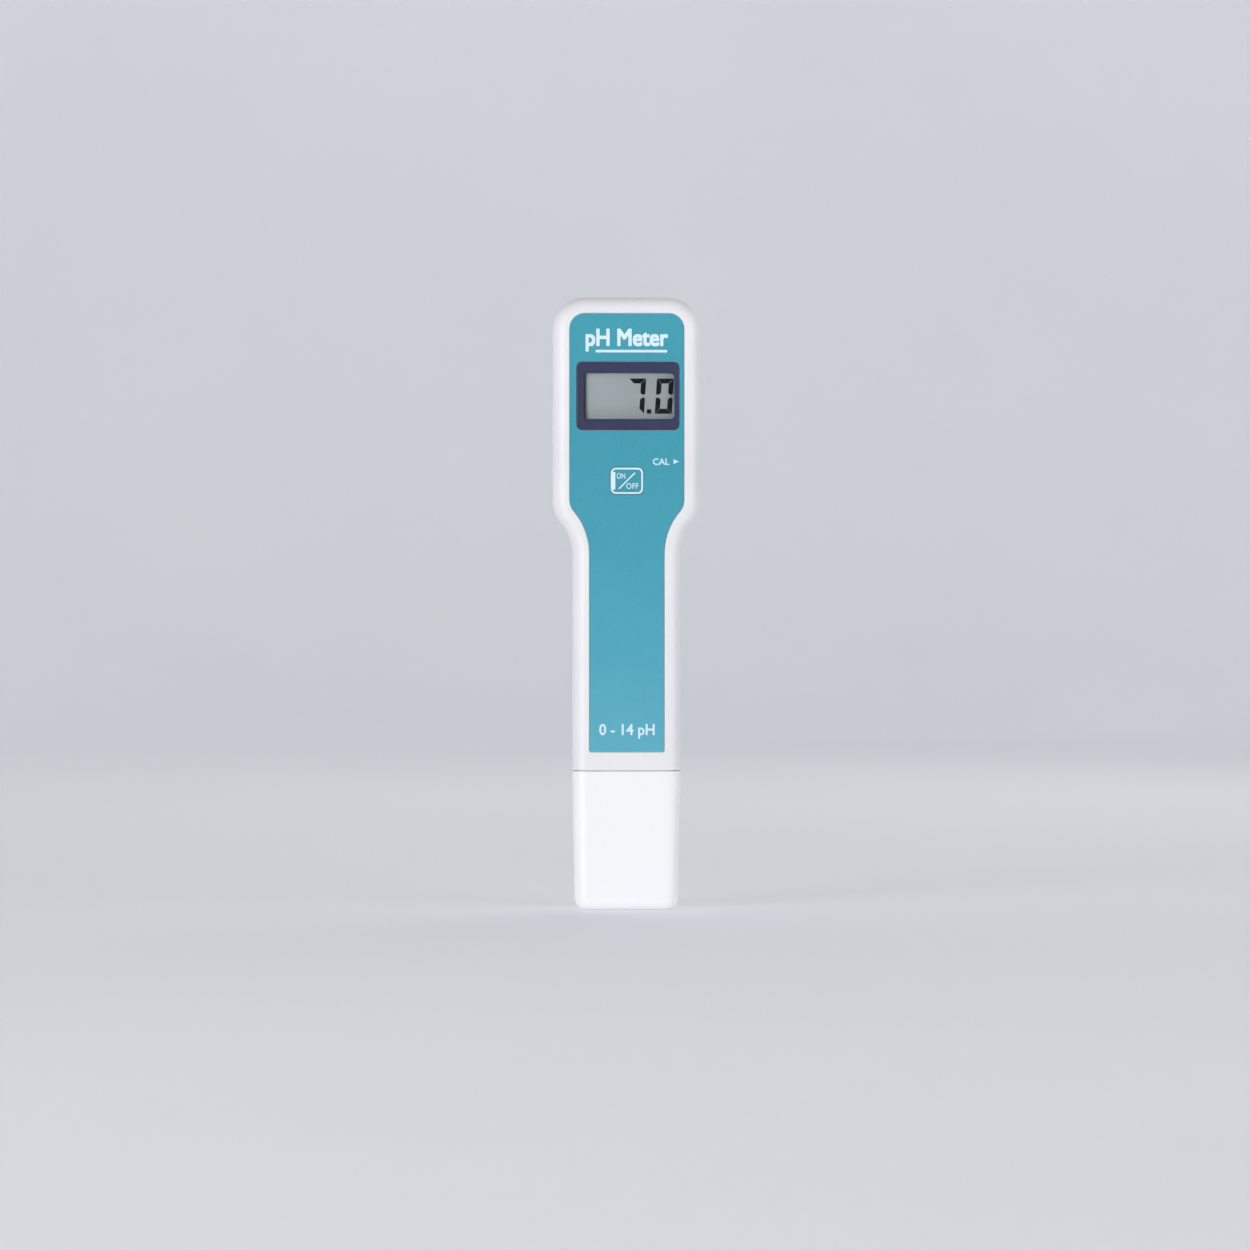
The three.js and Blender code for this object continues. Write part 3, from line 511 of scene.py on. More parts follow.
def makeDisplayFace():
    # the grey of a reflective liquid crystal cell: a faint fleck, darker towards one end, with painted shade towards
    # its lower edge
    material, tree, shader, where = startMaterial("displayFace")
    across = remap(tree, axisOf(tree, where, "X"), -13 * mm, 13.5 * mm)
    tone = ramp(tree, across, [(0.0, srgb(142, 150, 152)), (0.6, srgb(138, 144, 147)), (1.0, srgb(129, 135, 138))])
    mottle = placeGroup(tree, mottleGroup, {"Vector": where, "Drift Scale": 160.0, "Grain Scale": 6000.0})
    flecked = blendColour(tree, maths(tree, "MULTIPLY", mottle["Grain"], 0.16), tone, srgb(104, 113, 115))
    drifted = blendColour(tree, maths(tree, "MULTIPLY", mottle["Drift"], 0.12), flecked, srgb(150, 157, 159))
    # painted shade: the cell's colour darkens towards its lower edge
    low = remap(tree, axisOf(tree, where, "Z"), 144.5 * mm, 140 * mm, 0.0, 0.5)
    tree.links.new(blendColour(tree, low, drifted, srgb(104, 109, 111)), shader.inputs["Base Color"])
    tree.links.new(remap(tree, mottle["Grain"], 0.3, 0.7, 0.3, 0.4), shader.inputs["Roughness"])
    return material


def makeGlass(name, colour, smooth, ior, thick):
    # clear to the lamps, so that what lies behind it is lit; smudges show only in the gloss
    material, tree, shader, where = startMaterial(name)
    shader.inputs["Base Color"].default_value = colour
    shader.inputs["Transmission Weight"].default_value = 1.0
    shader.inputs["IOR"].default_value = ior
    smudge = placeGroup(tree, mottleGroup, {"Vector": where, "Drift Scale": 220.0, "Grain Scale": 1800.0})
    tree.links.new(remap(tree, smudge["Drift"], 0.3, 1.0, smooth, smooth + thick), shader.inputs["Roughness"])
    bump = addNode(tree, "ShaderNodeBump", {"Height": smudge["Drift"], "Strength": 0.05, "Distance": 0.01 * mm})
    tree.links.new(bump.outputs["Normal"], shader.inputs["Normal"])
    clear = tree.nodes.new("ShaderNodeBsdfTransparent")
    shadow = tree.nodes.new("ShaderNodeLightPath").outputs["Is Shadow Ray"]
    mix = tree.nodes.new("ShaderNodeMixShader")
    tree.links.new(shadow, mix.inputs[0])
    tree.links.new(shader.outputs[0], mix.inputs[1])
    tree.links.new(clear.outputs[0], mix.inputs[2])
    tree.links.new(mix.outputs[0], tree.nodes["Material Output"].inputs["Surface"])
    return material


def makeMetal(name, colour, worn, roughness, grain=(1, 1, 1), scale=900.0, tarnish=0.3):
    # drawn or plated metal: streaked gloss, tarnish in patches, brighter edges
    material, tree, shader, where = startMaterial(name)
    stretched = addNode(tree, "ShaderNodeMapping", {"Vector": where, "Scale": grain})
    streak = placeGroup(tree, mottleGroup,
                        {"Vector": stretched.outputs[0], "Drift Scale": 300.0, "Grain Scale": scale})
    edges = placeGroup(tree, edgeGroup, {"Vector": where, "Radius": 0.12 * mm})
    patchy = blendColour(tree, maths(tree, "MULTIPLY", streak["Drift"], tarnish), colour, worn)
    bright = blendColour(tree, maths(tree, "MULTIPLY", edges["Mask"], 0.4), patchy, srgb(240, 238, 232))
    tree.links.new(bright, shader.inputs["Base Color"])
    shader.inputs["Metallic"].default_value = 1.0
    tree.links.new(remap(tree, streak["Grain"], 0.3, 0.7, roughness - 0.07, roughness + 0.12),
                   shader.inputs["Roughness"])
    bump = addNode(tree, "ShaderNodeBump", {"Height": streak["Grain"], "Strength": 0.3, "Distance": 0.006 * mm})
    tree.links.new(bump.outputs["Normal"], shader.inputs["Normal"])
    return material


def makeLaminate():
    # green mask over woven glass, with copper tracks standing up under it as paler lines
    material, tree, shader, where = startMaterial("circuitLaminate")
    turned = addNode(tree, "ShaderNodeMapping", {"Vector": where, "Rotation": (math.pi / 2, 0, 0)})
    mottle = placeGroup(tree, mottleGroup, {"Vector": where, "Drift Scale": 90.0, "Grain Scale": 3000.0})
    tracks = addNode(tree, "ShaderNodeTexBrick", {"Vector": turned.outputs[0], "Scale": 1.0, "Mortar Size": 0.16 * mm,
                     "Mortar Smooth": 0.1, "Brick Width": 5.4 * mm, "Row Height": 1.27 * mm,
                     "Color1": (0, 0, 0, 1), "Color2": (0, 0, 0, 1), "Mortar": (1, 1, 1, 1)}, offset=0.37)
    base = blendColour(tree, mottle["Drift"], srgb(22, 92, 58), srgb(28, 106, 68))
    lined = blendColour(tree, maths(tree, "MULTIPLY", tracks.outputs["Color"], 0.7), base, srgb(66, 142, 92))
    tree.links.new(lined, shader.inputs["Base Color"])
    tree.links.new(remap(tree, mottle["Grain"], 0.3, 0.7, 0.26, 0.38), shader.inputs["Roughness"])
    bump = addNode(tree, "ShaderNodeBump",
                   {"Height": tracks.outputs["Color"], "Strength": 0.5, "Distance": 0.04 * mm})
    tree.links.new(bump.outputs["Normal"], shader.inputs["Normal"])
    return material


def makeLacquer():
    # a resistor's beige body with colour bands round it, set along its length
    material, tree, shader, where = startMaterial("resistorLacquer")
    height = addNode(tree, "ShaderNodeMath", {0: axisOf(tree, where, "Z"), 1: 19 * mm}, operation="MODULO").outputs[0]
    along = remap(tree, height, 14.6 * mm, 21.4 * mm)
    beige, brown, black, red = srgb(214, 186, 140), srgb(96, 52, 26), srgb(22, 20, 20), srgb(176, 32, 30)
    bands = ramp(tree, along, [(0.0, beige), (0.2, brown), (0.27, beige), (0.38, black), (0.45, beige), (0.56, red),
                               (0.63, beige), (0.8, srgb(190, 150, 60)), (0.87, beige)])
    bands.node.color_ramp.interpolation = "CONSTANT"
    mottle = placeGroup(tree, mottleGroup, {"Vector": where, "Drift Scale": 200.0, "Grain Scale": 2500.0})
    mixed = blendColour(tree, maths(tree, "MULTIPLY", mottle["Drift"], 0.25), bands, srgb(150, 120, 84))
    tree.links.new(mixed, shader.inputs["Base Color"])
    tree.links.new(remap(tree, mottle["Grain"], 0.3, 0.7, 0.28, 0.4), shader.inputs["Roughness"])
    return material


def makeJacket():
    # the battery's printed steel jacket: a black body with a copper-coloured top, plain stripes and scuffs
    material, tree, shader, where = startMaterial("batteryJacket")
    height = remap(tree, axisOf(tree, where, "Z"), 51.5 * mm, 97 * mm)
    bands = ramp(tree, height, [(0.0, srgb(26, 27, 30)), (0.66, srgb(196, 200, 204)), (0.685, srgb(26, 27, 30)),
                                (0.71, srgb(186, 118, 60))])
    bands.node.color_ramp.interpolation = "CONSTANT"
    mottle = placeGroup(tree, mottleGroup, {"Vector": where, "Drift Scale": 150.0, "Grain Scale": 900.0})
    edges = placeGroup(tree, edgeGroup, {"Vector": where, "Radius": 0.5 * mm})
    drifted = blendColour(tree, maths(tree, "MULTIPLY", mottle["Drift"], 0.12), bands, srgb(120, 116, 112))
    scuffed = blendColour(tree, maths(tree, "MULTIPLY", edges["Mask"], 0.6), drifted, srgb(206, 206, 208))
    tree.links.new(scuffed, shader.inputs["Base Color"])
    tree.links.new(maths(tree, "MULTIPLY", edges["Mask"], 0.7), shader.inputs["Metallic"])
    tree.links.new(remap(tree, mottle["Grain"], 0.3, 0.7, 0.24, 0.4), shader.inputs["Roughness"])
    return material


def makeFoam():
    # open-celled foam: dark pores over a soft charcoal body
    material, tree, shader, where = startMaterial("foam")
    pores = addNode(tree, "ShaderNodeTexVoronoi", {"Vector": where, "Scale": 2200.0, "Randomness": 1.0})
    mottle = placeGroup(tree, mottleGroup, {"Vector": where, "Drift Scale": 120.0, "Grain Scale": 1500.0})
    base = blendColour(tree, mottle["Drift"], srgb(74, 75, 78), srgb(88, 89, 92))
    tree.links.new(blendColour(tree, remap(tree, pores.outputs["Distance"], 0.35, 0.05), base, srgb(40, 40, 43)),
                   shader.inputs["Base Color"])
    tree.links.new(remap(tree, mottle["Grain"], 0.3, 0.7, 0.85, 0.97), shader.inputs["Roughness"])
    bump = addNode(tree, "ShaderNodeBump", {"Height": pores.outputs["Distance"], "Strength": 0.8,
                                            "Distance": 0.12 * mm})
    tree.links.new(bump.outputs["Normal"], shader.inputs["Normal"])
    return material


def makeCeramic():
    # porous reference ceramic, stained a little where it wets
    material, tree, shader, where = startMaterial("junctionCeramic")
    mottle = placeGroup(tree, mottleGroup, {"Vector": where, "Drift Scale": 500.0, "Grain Scale": 5000.0})
    stained = blendColour(tree, mottle["Drift"], srgb(226, 222, 210), srgb(206, 198, 180))
    tree.links.new(stained, shader.inputs["Base Color"])
    tree.links.new(remap(tree, mottle["Grain"], 0.3, 0.7, 0.75, 0.95), shader.inputs["Roughness"])
    bump = addNode(tree, "ShaderNodeBump", {"Height": mottle["Grain"], "Strength": 0.6, "Distance": 0.03 * mm})
    tree.links.new(bump.outputs["Normal"], shader.inputs["Normal"])
    return material


labelFilm = makeLabelFilm()
displayFace = makeDisplayFace()
clearWindow = makeGlass("clearWindow", srgb(252, 253, 253), 0.02, 1.12, 0.03)
rearGlass = makeGlass("displayGlass", srgb(236, 244, 240), 0.03, 1.5, 0.03)
bulbGlass = makeGlass("bulbGlass", srgb(244, 248, 246), 0.01, 1.5, 0.02)
steelPlate = makeMetal("switchSteel", srgb(186, 188, 190), srgb(150, 150, 150), 0.28, (1, 1, 12))
brassMetal = makeMetal("brassMetal", srgb(206, 172, 98), srgb(150, 116, 62), 0.3, (6, 1, 1))
nickelPlate = makeMetal("nickelPlate", srgb(204, 202, 194), srgb(160, 156, 146), 0.26, (1, 1, 6))
silverWire = makeMetal("silverWire", srgb(214, 212, 206), srgb(112, 106, 100), 0.35, (1, 1, 0.2), tarnish=0.7)
screwSteel = makeMetal("screwSteel", srgb(176, 176, 178), srgb(122, 120, 118), 0.3, (1, 4, 1))
reflectorFilm = makeMetal("reflectorFilm", srgb(196, 200, 202), srgb(172, 176, 180), 0.42, (1, 1, 30), 400.0)
laminate = makeLaminate()
lacquer = makeLacquer()
jacketPrint = makeJacket()
foamMaterial = makeFoam()
junctionCeramic = makeCeramic()
print("materials mixed:", len(bpy.data.materials))


# ---------- housing ----------

shellLow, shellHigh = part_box("front_shell")
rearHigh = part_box("rear_shell")[1]
capLow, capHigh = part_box("protective_cap")

housingPlan = {
    "wall": 1.8 * mm, "edgeRadius": 4 * mm, "cornerRadius": 9.2 * mm,
    "shoulderLow": 101.7 * mm, "shoulderRadius": 10 * mm, "hollowRadius": 14 * mm,
    "arcSteps": 12, "cornerSteps": 16, "rimSteps": 8, "footSteps": 5, "seam": 0.05 * mm,
    "labelInset": 4.65 * mm, "labelRecess": 0.55 * mm, "labelBottom": 45.1 * mm,
    "upperBulkhead": (104 * mm, 105.2 * mm), "lowerBulkhead": (49.6 * mm, 50.8 * mm),
    "postX": 14.4 * mm, "postHeights": (119 * mm, 166 * mm),
    "boardPosts": ((0, 164.5 * mm), (-14 * mm, 130 * mm), (8.5 * mm, 113.5 * mm)),
    "trimmerHole": 1.7 * mm, "trimmerHeight": 128 * mm,
    "lipBack": 1.1 * mm, "lipThickness": 0.8 * mm, "lipPlay": 0.15 * mm, "lipGap": 4.5 * mm,
    "batteryRibs": (-10.5 * mm, -4.5 * mm, 4.5 * mm, 10.5 * mm), "ribHalf": 0.6 * mm, "ribBack": -7.95 * mm,
    "collarRibHalf": 10.5 * mm, "collarRibDepth": 9.45 * mm, "collarRibHeights": (42.6 * mm, 44.4 * mm),
    "boardPostRadius": 2.4 * mm, "boardFront": -5.45 * mm, "frontPostRadius": 3 * mm, "rearPostRadius": 3.6 * mm,
    "casePilot": 1.25 * mm, "boardPilot": 0.95 * mm, "clearance": 1.5 * mm,
    "sinkRadius": 2.6 * mm, "sinkFloor": 9.4 * mm, "sinkFlare": 1.2,
    "notchRadius": 3.4 * mm, "notchHalf": 5.5 * mm, "notchBack": 2.2 * mm,
    "cableHalf": 2 * mm, "cableBack": -6.6 * mm, "leadHalf": 5.5 * mm, "leadYs": (-2.5 * mm, 3.5 * mm),
    "leadHeight": 3.2 * mm, "frontSoftening": 0.18 * mm, "seamSoftening": 0.12 * mm, "bottomSoftening": 0.1 * mm,
}
headHalf = shellHigh.x
neckHalf = capHigh.x
frontFace = shellLow.y
backFace = rearHigh.y
topFace = shellHigh.z
housingBottom = shellLow.z
belowHousing = housingBottom - 20 * mm


def bodyOutline(inset, bottom, footRadius=0.0):
    # start and moves of the waisted outline, seen from the front, moved inwards by an inset
    plan = housingPlan
    arcs = plan["arcSteps"]
    corners = plan["cornerSteps"]
    hollow, shoulder, corner = plan["hollowRadius"], plan["shoulderRadius"], plan["cornerRadius"]
    sweep = math.acos(1 - (headHalf - neckHalf) / (hollow + shoulder))
    shoulderHigh = plan["shoulderLow"] + (hollow + shoulder) * math.sin(sweep)
    degrees = math.degrees(sweep)
    neck, head, top = neckHalf - inset, headHalf - inset, topFace - inset
    cornerX, cornerZ = headHalf - corner, topFace - corner
    moves = [
        ("line", (neck, plan["shoulderLow"])),
        ("arc", (neckHalf + hollow, plan["shoulderLow"]), -degrees, arcs),
        ("arc", (headHalf - shoulder, shoulderHigh), degrees, arcs),
        ("line", (head, cornerZ)),
        ("arc", (cornerX, cornerZ), 90, corners),
        ("line", (-cornerX, top)),
        ("arc", (-cornerX, cornerZ), 90, corners),
        ("line", (-head, shoulderHigh)),
        ("arc", (-headHalf + shoulder, shoulderHigh), degrees, arcs),
        ("arc", (-neckHalf - hollow, plan["shoulderLow"]), -degrees, arcs),
        ("line", (-neck, bottom + footRadius)),
    ]
    if footRadius:
        steps = plan["footSteps"]
        moves += [("arc", (-neck + footRadius, bottom + footRadius), 90, steps),
                  ("line", (neck - footRadius, bottom)),
                  ("arc", (neck - footRadius, bottom + footRadius), 90, steps)]
    else:
        moves.append(("line", (neck, bottom)))
    return (neck, bottom + footRadius), moves


def bodyBlock(name, inset, rim, other, rounding, bottom=belowHousing):
    # a waisted block from its rounded rim to its open side
    piece = drawPath(name, "front", rim, *bodyOutline(inset, bottom))
    thicken(piece, (0, other - rim, 0))
    if rounding:
        roundEdges(piece, levelTest("y", rim), rounding, housingPlan["rimSteps"])
    return piece


def trimBelow(piece, height):
    workOn(piece, "EDIT")
    bpy.ops.mesh.select_all(action="SELECT")
    bpy.ops.mesh.bisect(plane_co=(0, 0, height), plane_no=(0, 0, 1), use_fill=True, clear_inner=True)
    finishEdit()


def wideBox(name, ys, zs, half=30 * mm):
    return boxBlock(name, (-half, half), ys, zs)


def postPlaces():
    plan = housingPlan
    return [(side * plan["postX"], z) for z in plan["postHeights"] for side in (-1, 1)]


def cavityTool(name, rim, open_, posts, postRadius, ribs):
    # the hollow inside one shell, less everything that stands in it
    plan = housingPlan
    inner = rim - math.copysign(plan["wall"], rim)
    tool = bodyBlock(name, plan["wall"], inner, open_, plan["edgeRadius"] - plan["wall"])
    kept = [wideBox("bulkhead", sorted((2 * rim, open_)), plan[key]) for key in ("upperBulkhead", "lowerBulkhead")]
    kept += [rod("post", "y", postRadius, sorted((2 * rim, open_)), place) for place in posts]
    kept += ribs
    return carve(tool, *kept)


def wireways():
    plan = housingPlan
    zs = (plan["lowerBulkhead"][0] - 1 * mm, plan["upperBulkhead"][1] + 1 * mm)
    cable = boxBlock("cableSlot", (-plan["cableHalf"], plan["cableHalf"]),
                     (frontFace + plan["wall"], plan["cableBack"]), zs)
    leads = boxBlock("leadSlot", (-plan["leadHalf"], plan["leadHalf"]), plan["leadYs"],
                     (zs[1] - plan["leadHeight"], zs[1]))
    return [cable, leads]


def trimmerDrill():
    return rod("trimmerDrill", "x", housingPlan["trimmerHole"], (17 * mm, 30 * mm),
               (0, housingPlan["trimmerHeight"]))


def seamLip():
    # the front shell's tongue, which stands inside the rear shell's wall round the head
    plan = housingPlan
    outer, inner = plan["wall"] + plan["lipPlay"], plan["wall"] + plan["lipPlay"] + plan["lipThickness"]
    bottom = plan["upperBulkhead"][1]
    tongue = bodyBlock("seamLip", outer, -2 * mm, plan["lipBack"], 0)
    root = bodyBlock("lipRoot", plan["wall"] - 0.4 * mm, -2.4 * mm, -0.9 * mm, 0)
    weld(tongue, root)
    carve(tongue, bodyBlock("lipInside", inner, -4 * mm, 3 * mm, 0))
    trimBelow(tongue, bottom)
    gap, z = plan["lipGap"], plan["trimmerHeight"]
    carve(tongue, boxBlock("lipGap", (15 * mm, 22 * mm), (-3 * mm, 3 * mm), (z - gap, z + gap)))
    return tongue


bezelLow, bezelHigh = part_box("display_bezel")
keyLow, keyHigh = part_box("power_key")
displayMiddle = ((bezelLow.x + bezelHigh.x) / 2, (bezelLow.z + bezelHigh.z) / 2)
keyMiddle = (0.0, (keyLow.z + keyHigh.z) / 2)
displayPlan = {
    "width": bezelHigh.x - bezelLow.x, "height": bezelHigh.z - bezelLow.z, "radius": 1.8 * mm,
    "neckWidth": 27.5 * mm, "neckHeight": 14.3 * mm, "rebate": 0.95 * mm,
    "viewWidth": 25.9 * mm, "viewHeight": 13.1 * mm, "viewRadius": 1.05 * mm, "viewShift": 0.2 * mm,
}
viewMiddle = (displayMiddle[0] + displayPlan["viewShift"], displayMiddle[1])
keyPlan = {"width": 9.4 * mm, "height": 7.7 * mm, "radius": 1.6 * mm, "gap": 0.12 * mm}


def keyOpening(front, back):
    gap = 2 * keyPlan["gap"]
    return roundedPlate("keyOpening", "front", front, back - front, keyPlan["width"] + gap,
                        keyPlan["height"] + gap, keyPlan["radius"] + gap / 2, 6, keyMiddle)


def makeFrontShell():
    plan = housingPlan
    innerFront = frontFace + plan["wall"]
    shell = bodyBlock("frontShell", 0, frontFace, -plan["seam"], plan["edgeRadius"])
    ribTop, ribBottom = plan["upperBulkhead"][0], plan["lowerBulkhead"][1]
    ribs = [boxBlock("rib", (x - plan["ribHalf"], x + plan["ribHalf"]), (frontFace, plan["ribBack"]),
                     (ribBottom, ribTop)) for x in plan["batteryRibs"]]
    ribs.append(boxBlock("collarRib", (-plan["collarRibHalf"], plan["collarRibHalf"]),
                         (frontFace, -plan["collarRibDepth"]), plan["collarRibHeights"]))
    ribs += [rod("boardPost", "y", plan["boardPostRadius"], (frontFace, plan["boardFront"]), place, 24)
             for place in plan["boardPosts"]]
    carve(shell, cavityTool("frontHollow", frontFace, 1 * mm, postPlaces(), plan["frontPostRadius"], ribs))
    weld(shell, seamLip())
    floor = frontFace + plan["labelRecess"]
    recess = drawPath("labelRecess", "front", frontFace - 1 * mm,
                      *bodyOutline(plan["labelInset"], plan["labelBottom"], footRadius=0.65 * mm))
    thicken(recess, (0, floor - frontFace + 1 * mm, 0))
    display = displayPlan
    rebate = roundedPlate("rebate", "front", frontFace - 1 * mm, display["rebate"] + 1 * mm,
                          display["width"] + 0.2 * mm, display["height"] + 0.2 * mm,
                          display["radius"] + 0.1 * mm, 8, displayMiddle)
    window = roundedPlate("window", "front", frontFace - 1 * mm, 4 * mm, display["neckWidth"] + 0.2 * mm,
                          display["neckHeight"] + 0.2 * mm, 1.2 * mm, 6, displayMiddle)
    pilots = [rod("pilot", "y", plan["casePilot"], (-9.4 * mm, 5 * mm), place, 16) for place in postPlaces()]
    pilots += [rod("pilot", "y", plan["boardPilot"], (-9.6 * mm, 5 * mm), place, 12)
               for place in plan["boardPosts"]]
    carve(shell, recess, rebate, window, keyOpening(frontFace - 1 * mm, innerFront + 1 * mm), trimmerDrill(),
          *wireways(), *pilots)
    trimBelow(shell, housingBottom)
    roundEdges(shell, levelTest("y", frontFace), plan["frontSoftening"], 3)
    softenRims(shell, -plan["seam"])
    return finishPiece(shell, "housing", "housing_plastic", housingPlastic, "front_shell")


def softenRims(shell, seam):
    # the outer edges along the seam and round the bottom
    plan = housingPlan
    atSeam, atBottom = levelTest("y", seam), levelTest("z", housingBottom)
    roundEdges(shell, lambda a, b: atSeam(a, b) and seamOutside(a) and seamOutside(b), plan["seamSoftening"])
    roundEdges(shell, lambda a, b: atBottom(a, b) and rimOutside(a) and rimOutside(b), plan["bottomSoftening"])


def seamOutside(point):
    # on the outer skin at the seam, so further out than the wall's middle
    plan = housingPlan
    if point.z < plan["shoulderLow"]:
        return abs(point.x) > neckHalf - plan["wall"] / 2
    return abs(point.x) > neckHalf or point.z > topFace - plan["wall"] / 2


def rimOutside(point):
    wall = housingPlan["wall"] / 2
    return abs(point.x) > neckHalf - wall or abs(point.y) > backFace - wall or (
        abs(point.x) > neckHalf - 3.2 * mm and abs(point.y) > backFace - 3.2 * mm)


def makeRearShell():
    plan = housingPlan
    shell = bodyBlock("rearShell", 0, backFace, plan["seam"], plan["edgeRadius"])
    rib = boxBlock("collarRib", (-plan["collarRibHalf"], plan["collarRibHalf"]), (plan["collarRibDepth"], backFace),
                   plan["collarRibHeights"])
    carve(shell, cavityTool("rearHollow", backFace, -1 * mm, postPlaces(), plan["rearPostRadius"], [rib]))
    gap = doorPlan["gap"]
    opening = wideBox("doorOpening", (5 * mm, 30 * mm), (doorLow.z - gap, doorRim + gap))
    notch = rod("fingerNotch", "x", plan["notchRadius"], (-plan["notchHalf"], plan["notchHalf"]),
                (backFace + plan["notchBack"], doorLow.z - gap), 48)
    holes = [rod("clearance", "y", plan["clearance"], (-1 * mm, 20 * mm), place) for place in postPlaces()]
    holes += [sinkTool(place) for place in postPlaces()]
    carve(shell, opening, notch, trimmerDrill(), *wireways(), *holes)
    trimBelow(shell, housingBottom)
    softenRims(shell, plan["seam"])
    return finishPiece(shell, "housing", "housing_plastic", housingPlastic, "rear_shell")


def sinkTool(place):
    # a counterbore whose mouth flares a little
    plan, mouth = housingPlan, 0.25 * mm
    tool = rod("sink", "y", plan["sinkRadius"], (plan["sinkFloor"], backFace - mouth), place, 40)
    workOn(tool, "EDIT")
    selectFaces(tool, lambda centre, normal: normal.y > 0.9)
    bpy.ops.mesh.extrude_region_move(TRANSFORM_OT_translate={"value": (0, 2 * mouth, 0)})
    bpy.ops.transform.resize(value=(plan["sinkFlare"], 1, plan["sinkFlare"]),
                             center_override=(place[0], backFace, place[1]))
    finishEdit()
    return tool


doorLow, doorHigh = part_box("battery_door")
doorRim = doorHigh.z - 1.8 * mm      # the hooks stand this far above the door's own edge
doorPlan = {
    "hookX": 8 * mm, "hookWidth": 4 * mm, "stiffenerX": 11 * mm, "gripHalf": 6.5 * mm, "gripRadius": 0.55 * mm,
    "gripHeights": (57 * mm, 59.2 * mm, 61.4 * mm, 63.6 * mm), "slotX": 8.2 * mm, "slotTop": 66 * mm,
    "arrowHeight": 70.5 * mm, "arrowWidth": 5 * mm, "arrowDepth": 0.35 * mm, "gap": 0.3 * mm,
    "softening": 0.25 * mm, "hookFront": 8.4 * mm, "hookBack": 9.9 * mm, "hookRoot": 97.95 * mm,
    "hookFoot": 98.2 * mm, "hookSoftening": 0.35 * mm, "stiffenerHalf": 0.5 * mm, "stiffenerFront": 9.5 * mm,
    "stiffenerHeights": (54 * mm, 97 * mm), "slotHalf": 0.4 * mm, "slotFront": 9 * mm,
}


def makeBatteryDoor():
    plan, wall = doorPlan, housingPlan["wall"]
    inner = backFace - wall
    door = bodyBlock("batteryDoor", 0, backFace, doorLow.y, housingPlan["edgeRadius"])
    carve(door, bodyBlock("doorHollow", wall, inner, doorLow.y - 1 * mm, housingPlan["edgeRadius"] - wall))
    trimBelow(door, doorLow.z)
    workOn(door, "EDIT")
    bpy.ops.mesh.select_all(action="SELECT")
    bpy.ops.mesh.bisect(plane_co=(0, 0, doorRim), plane_no=(0, 0, 1), use_fill=True, clear_outer=True)
    finishEdit()
    for level in (doorLow.z, doorRim):
        flat = levelTest("z", level)
        roundEdges(door, lambda a, b: flat(a, b) and rimOutside(a) and rimOutside(b), plan["softening"], 3)
    sunk = inner + 0.4 * mm      # hooks and stiffeners start inside the door's wall
    for side in (-1, 1):
        hook = [side * plan["hookX"] + d for d in (-plan["hookWidth"] / 2, plan["hookWidth"] / 2)]
        weld(door, boxBlock("hookRoot", hook, (plan["hookFront"], sunk), (plan["hookRoot"], doorRim - 0.3 * mm)))
        arm = boxBlock("hookArm", hook, (plan["hookFront"], plan["hookBack"]), (plan["hookFoot"], doorHigh.z))
        roundEdges(arm, levelTest("z", doorHigh.z), plan["hookSoftening"], 3)
        weld(door, arm)
        x, half = side * plan["stiffenerX"], plan["stiffenerHalf"]
        weld(door, boxBlock("stiffener", (x - half, x + half), (plan["stiffenerFront"], sunk),
                            plan["stiffenerHeights"]))
    for z in plan["gripHeights"]:
        carve(door, rod("grip", "x", plan["gripRadius"], (-plan["gripHalf"], plan["gripHalf"]), (backFace, z), 16))
    for side in (-1, 1):
        x, half = side * plan["slotX"], plan["slotHalf"]
        carve(door, boxBlock("tongueSlot", (x - half, x + half), (plan["slotFront"], backFace + 1 * mm),
                             (doorLow.z - 1 * mm, plan["slotTop"])))
    half, top = plan["arrowWidth"] / 2, plan["arrowHeight"]
    arrow = drawPath("openArrow", "front", backFace - plan["arrowDepth"], (-half, top),
                     [("line", (0, top - plan["arrowWidth"] * 0.62)), ("line", (half, top)), ("line", (-half, top))])
    carve(door, thicken(arrow, (0, 2 * mm, 0)))
    return finishPiece(door, "door", "housing_plastic", housingPlastic, "battery_door")


def makeDoorPad():
    low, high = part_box("door_pad")
    middle = ((low.x + high.x) / 2, (low.z + high.z) / 2)
    crown = 0.09 * mm
    pad = roundedPlate("doorPad", "front", low.y + crown, high.y - low.y - crown, high.x - low.x, high.z - low.z,
                       1.5 * mm, 6, middle)
    roundEdges(pad, levelTest("y", low.y + crown), 0.3 * mm, 4)
    workOn(pad, "EDIT")
    selectFaces(pad, lambda centre, normal: normal.y < -0.99)
    for share, rise in ((0.82, 0.05 * mm), (0.7, 0.02 * mm), (0.5, 0.01 * mm)):
        bpy.ops.mesh.extrude_region_move(TRANSFORM_OT_translate={"value": (0, 0, 0)})
        bpy.ops.transform.resize(value=(share, 1, share), center_override=(middle[0], 0, middle[1]))
        bpy.ops.transform.translate(value=(0, -rise, 0))
    finishEdit()
    finishPiece(pad, "door", "foam", foamMaterial, "door_pad", angle=60)
    return pad


# ---------- protective cap ----------

capPlan = {"radius": 4 * mm, "wall": 1.6 * mm, "floor": 1.9 * mm, "footRadius": 3.5 * mm, "draft": 0.038,
           "rimSoftening": 0.07 * mm, "cornerSteps": 12, "footSteps": 10, "rise": 0.11 * mm}


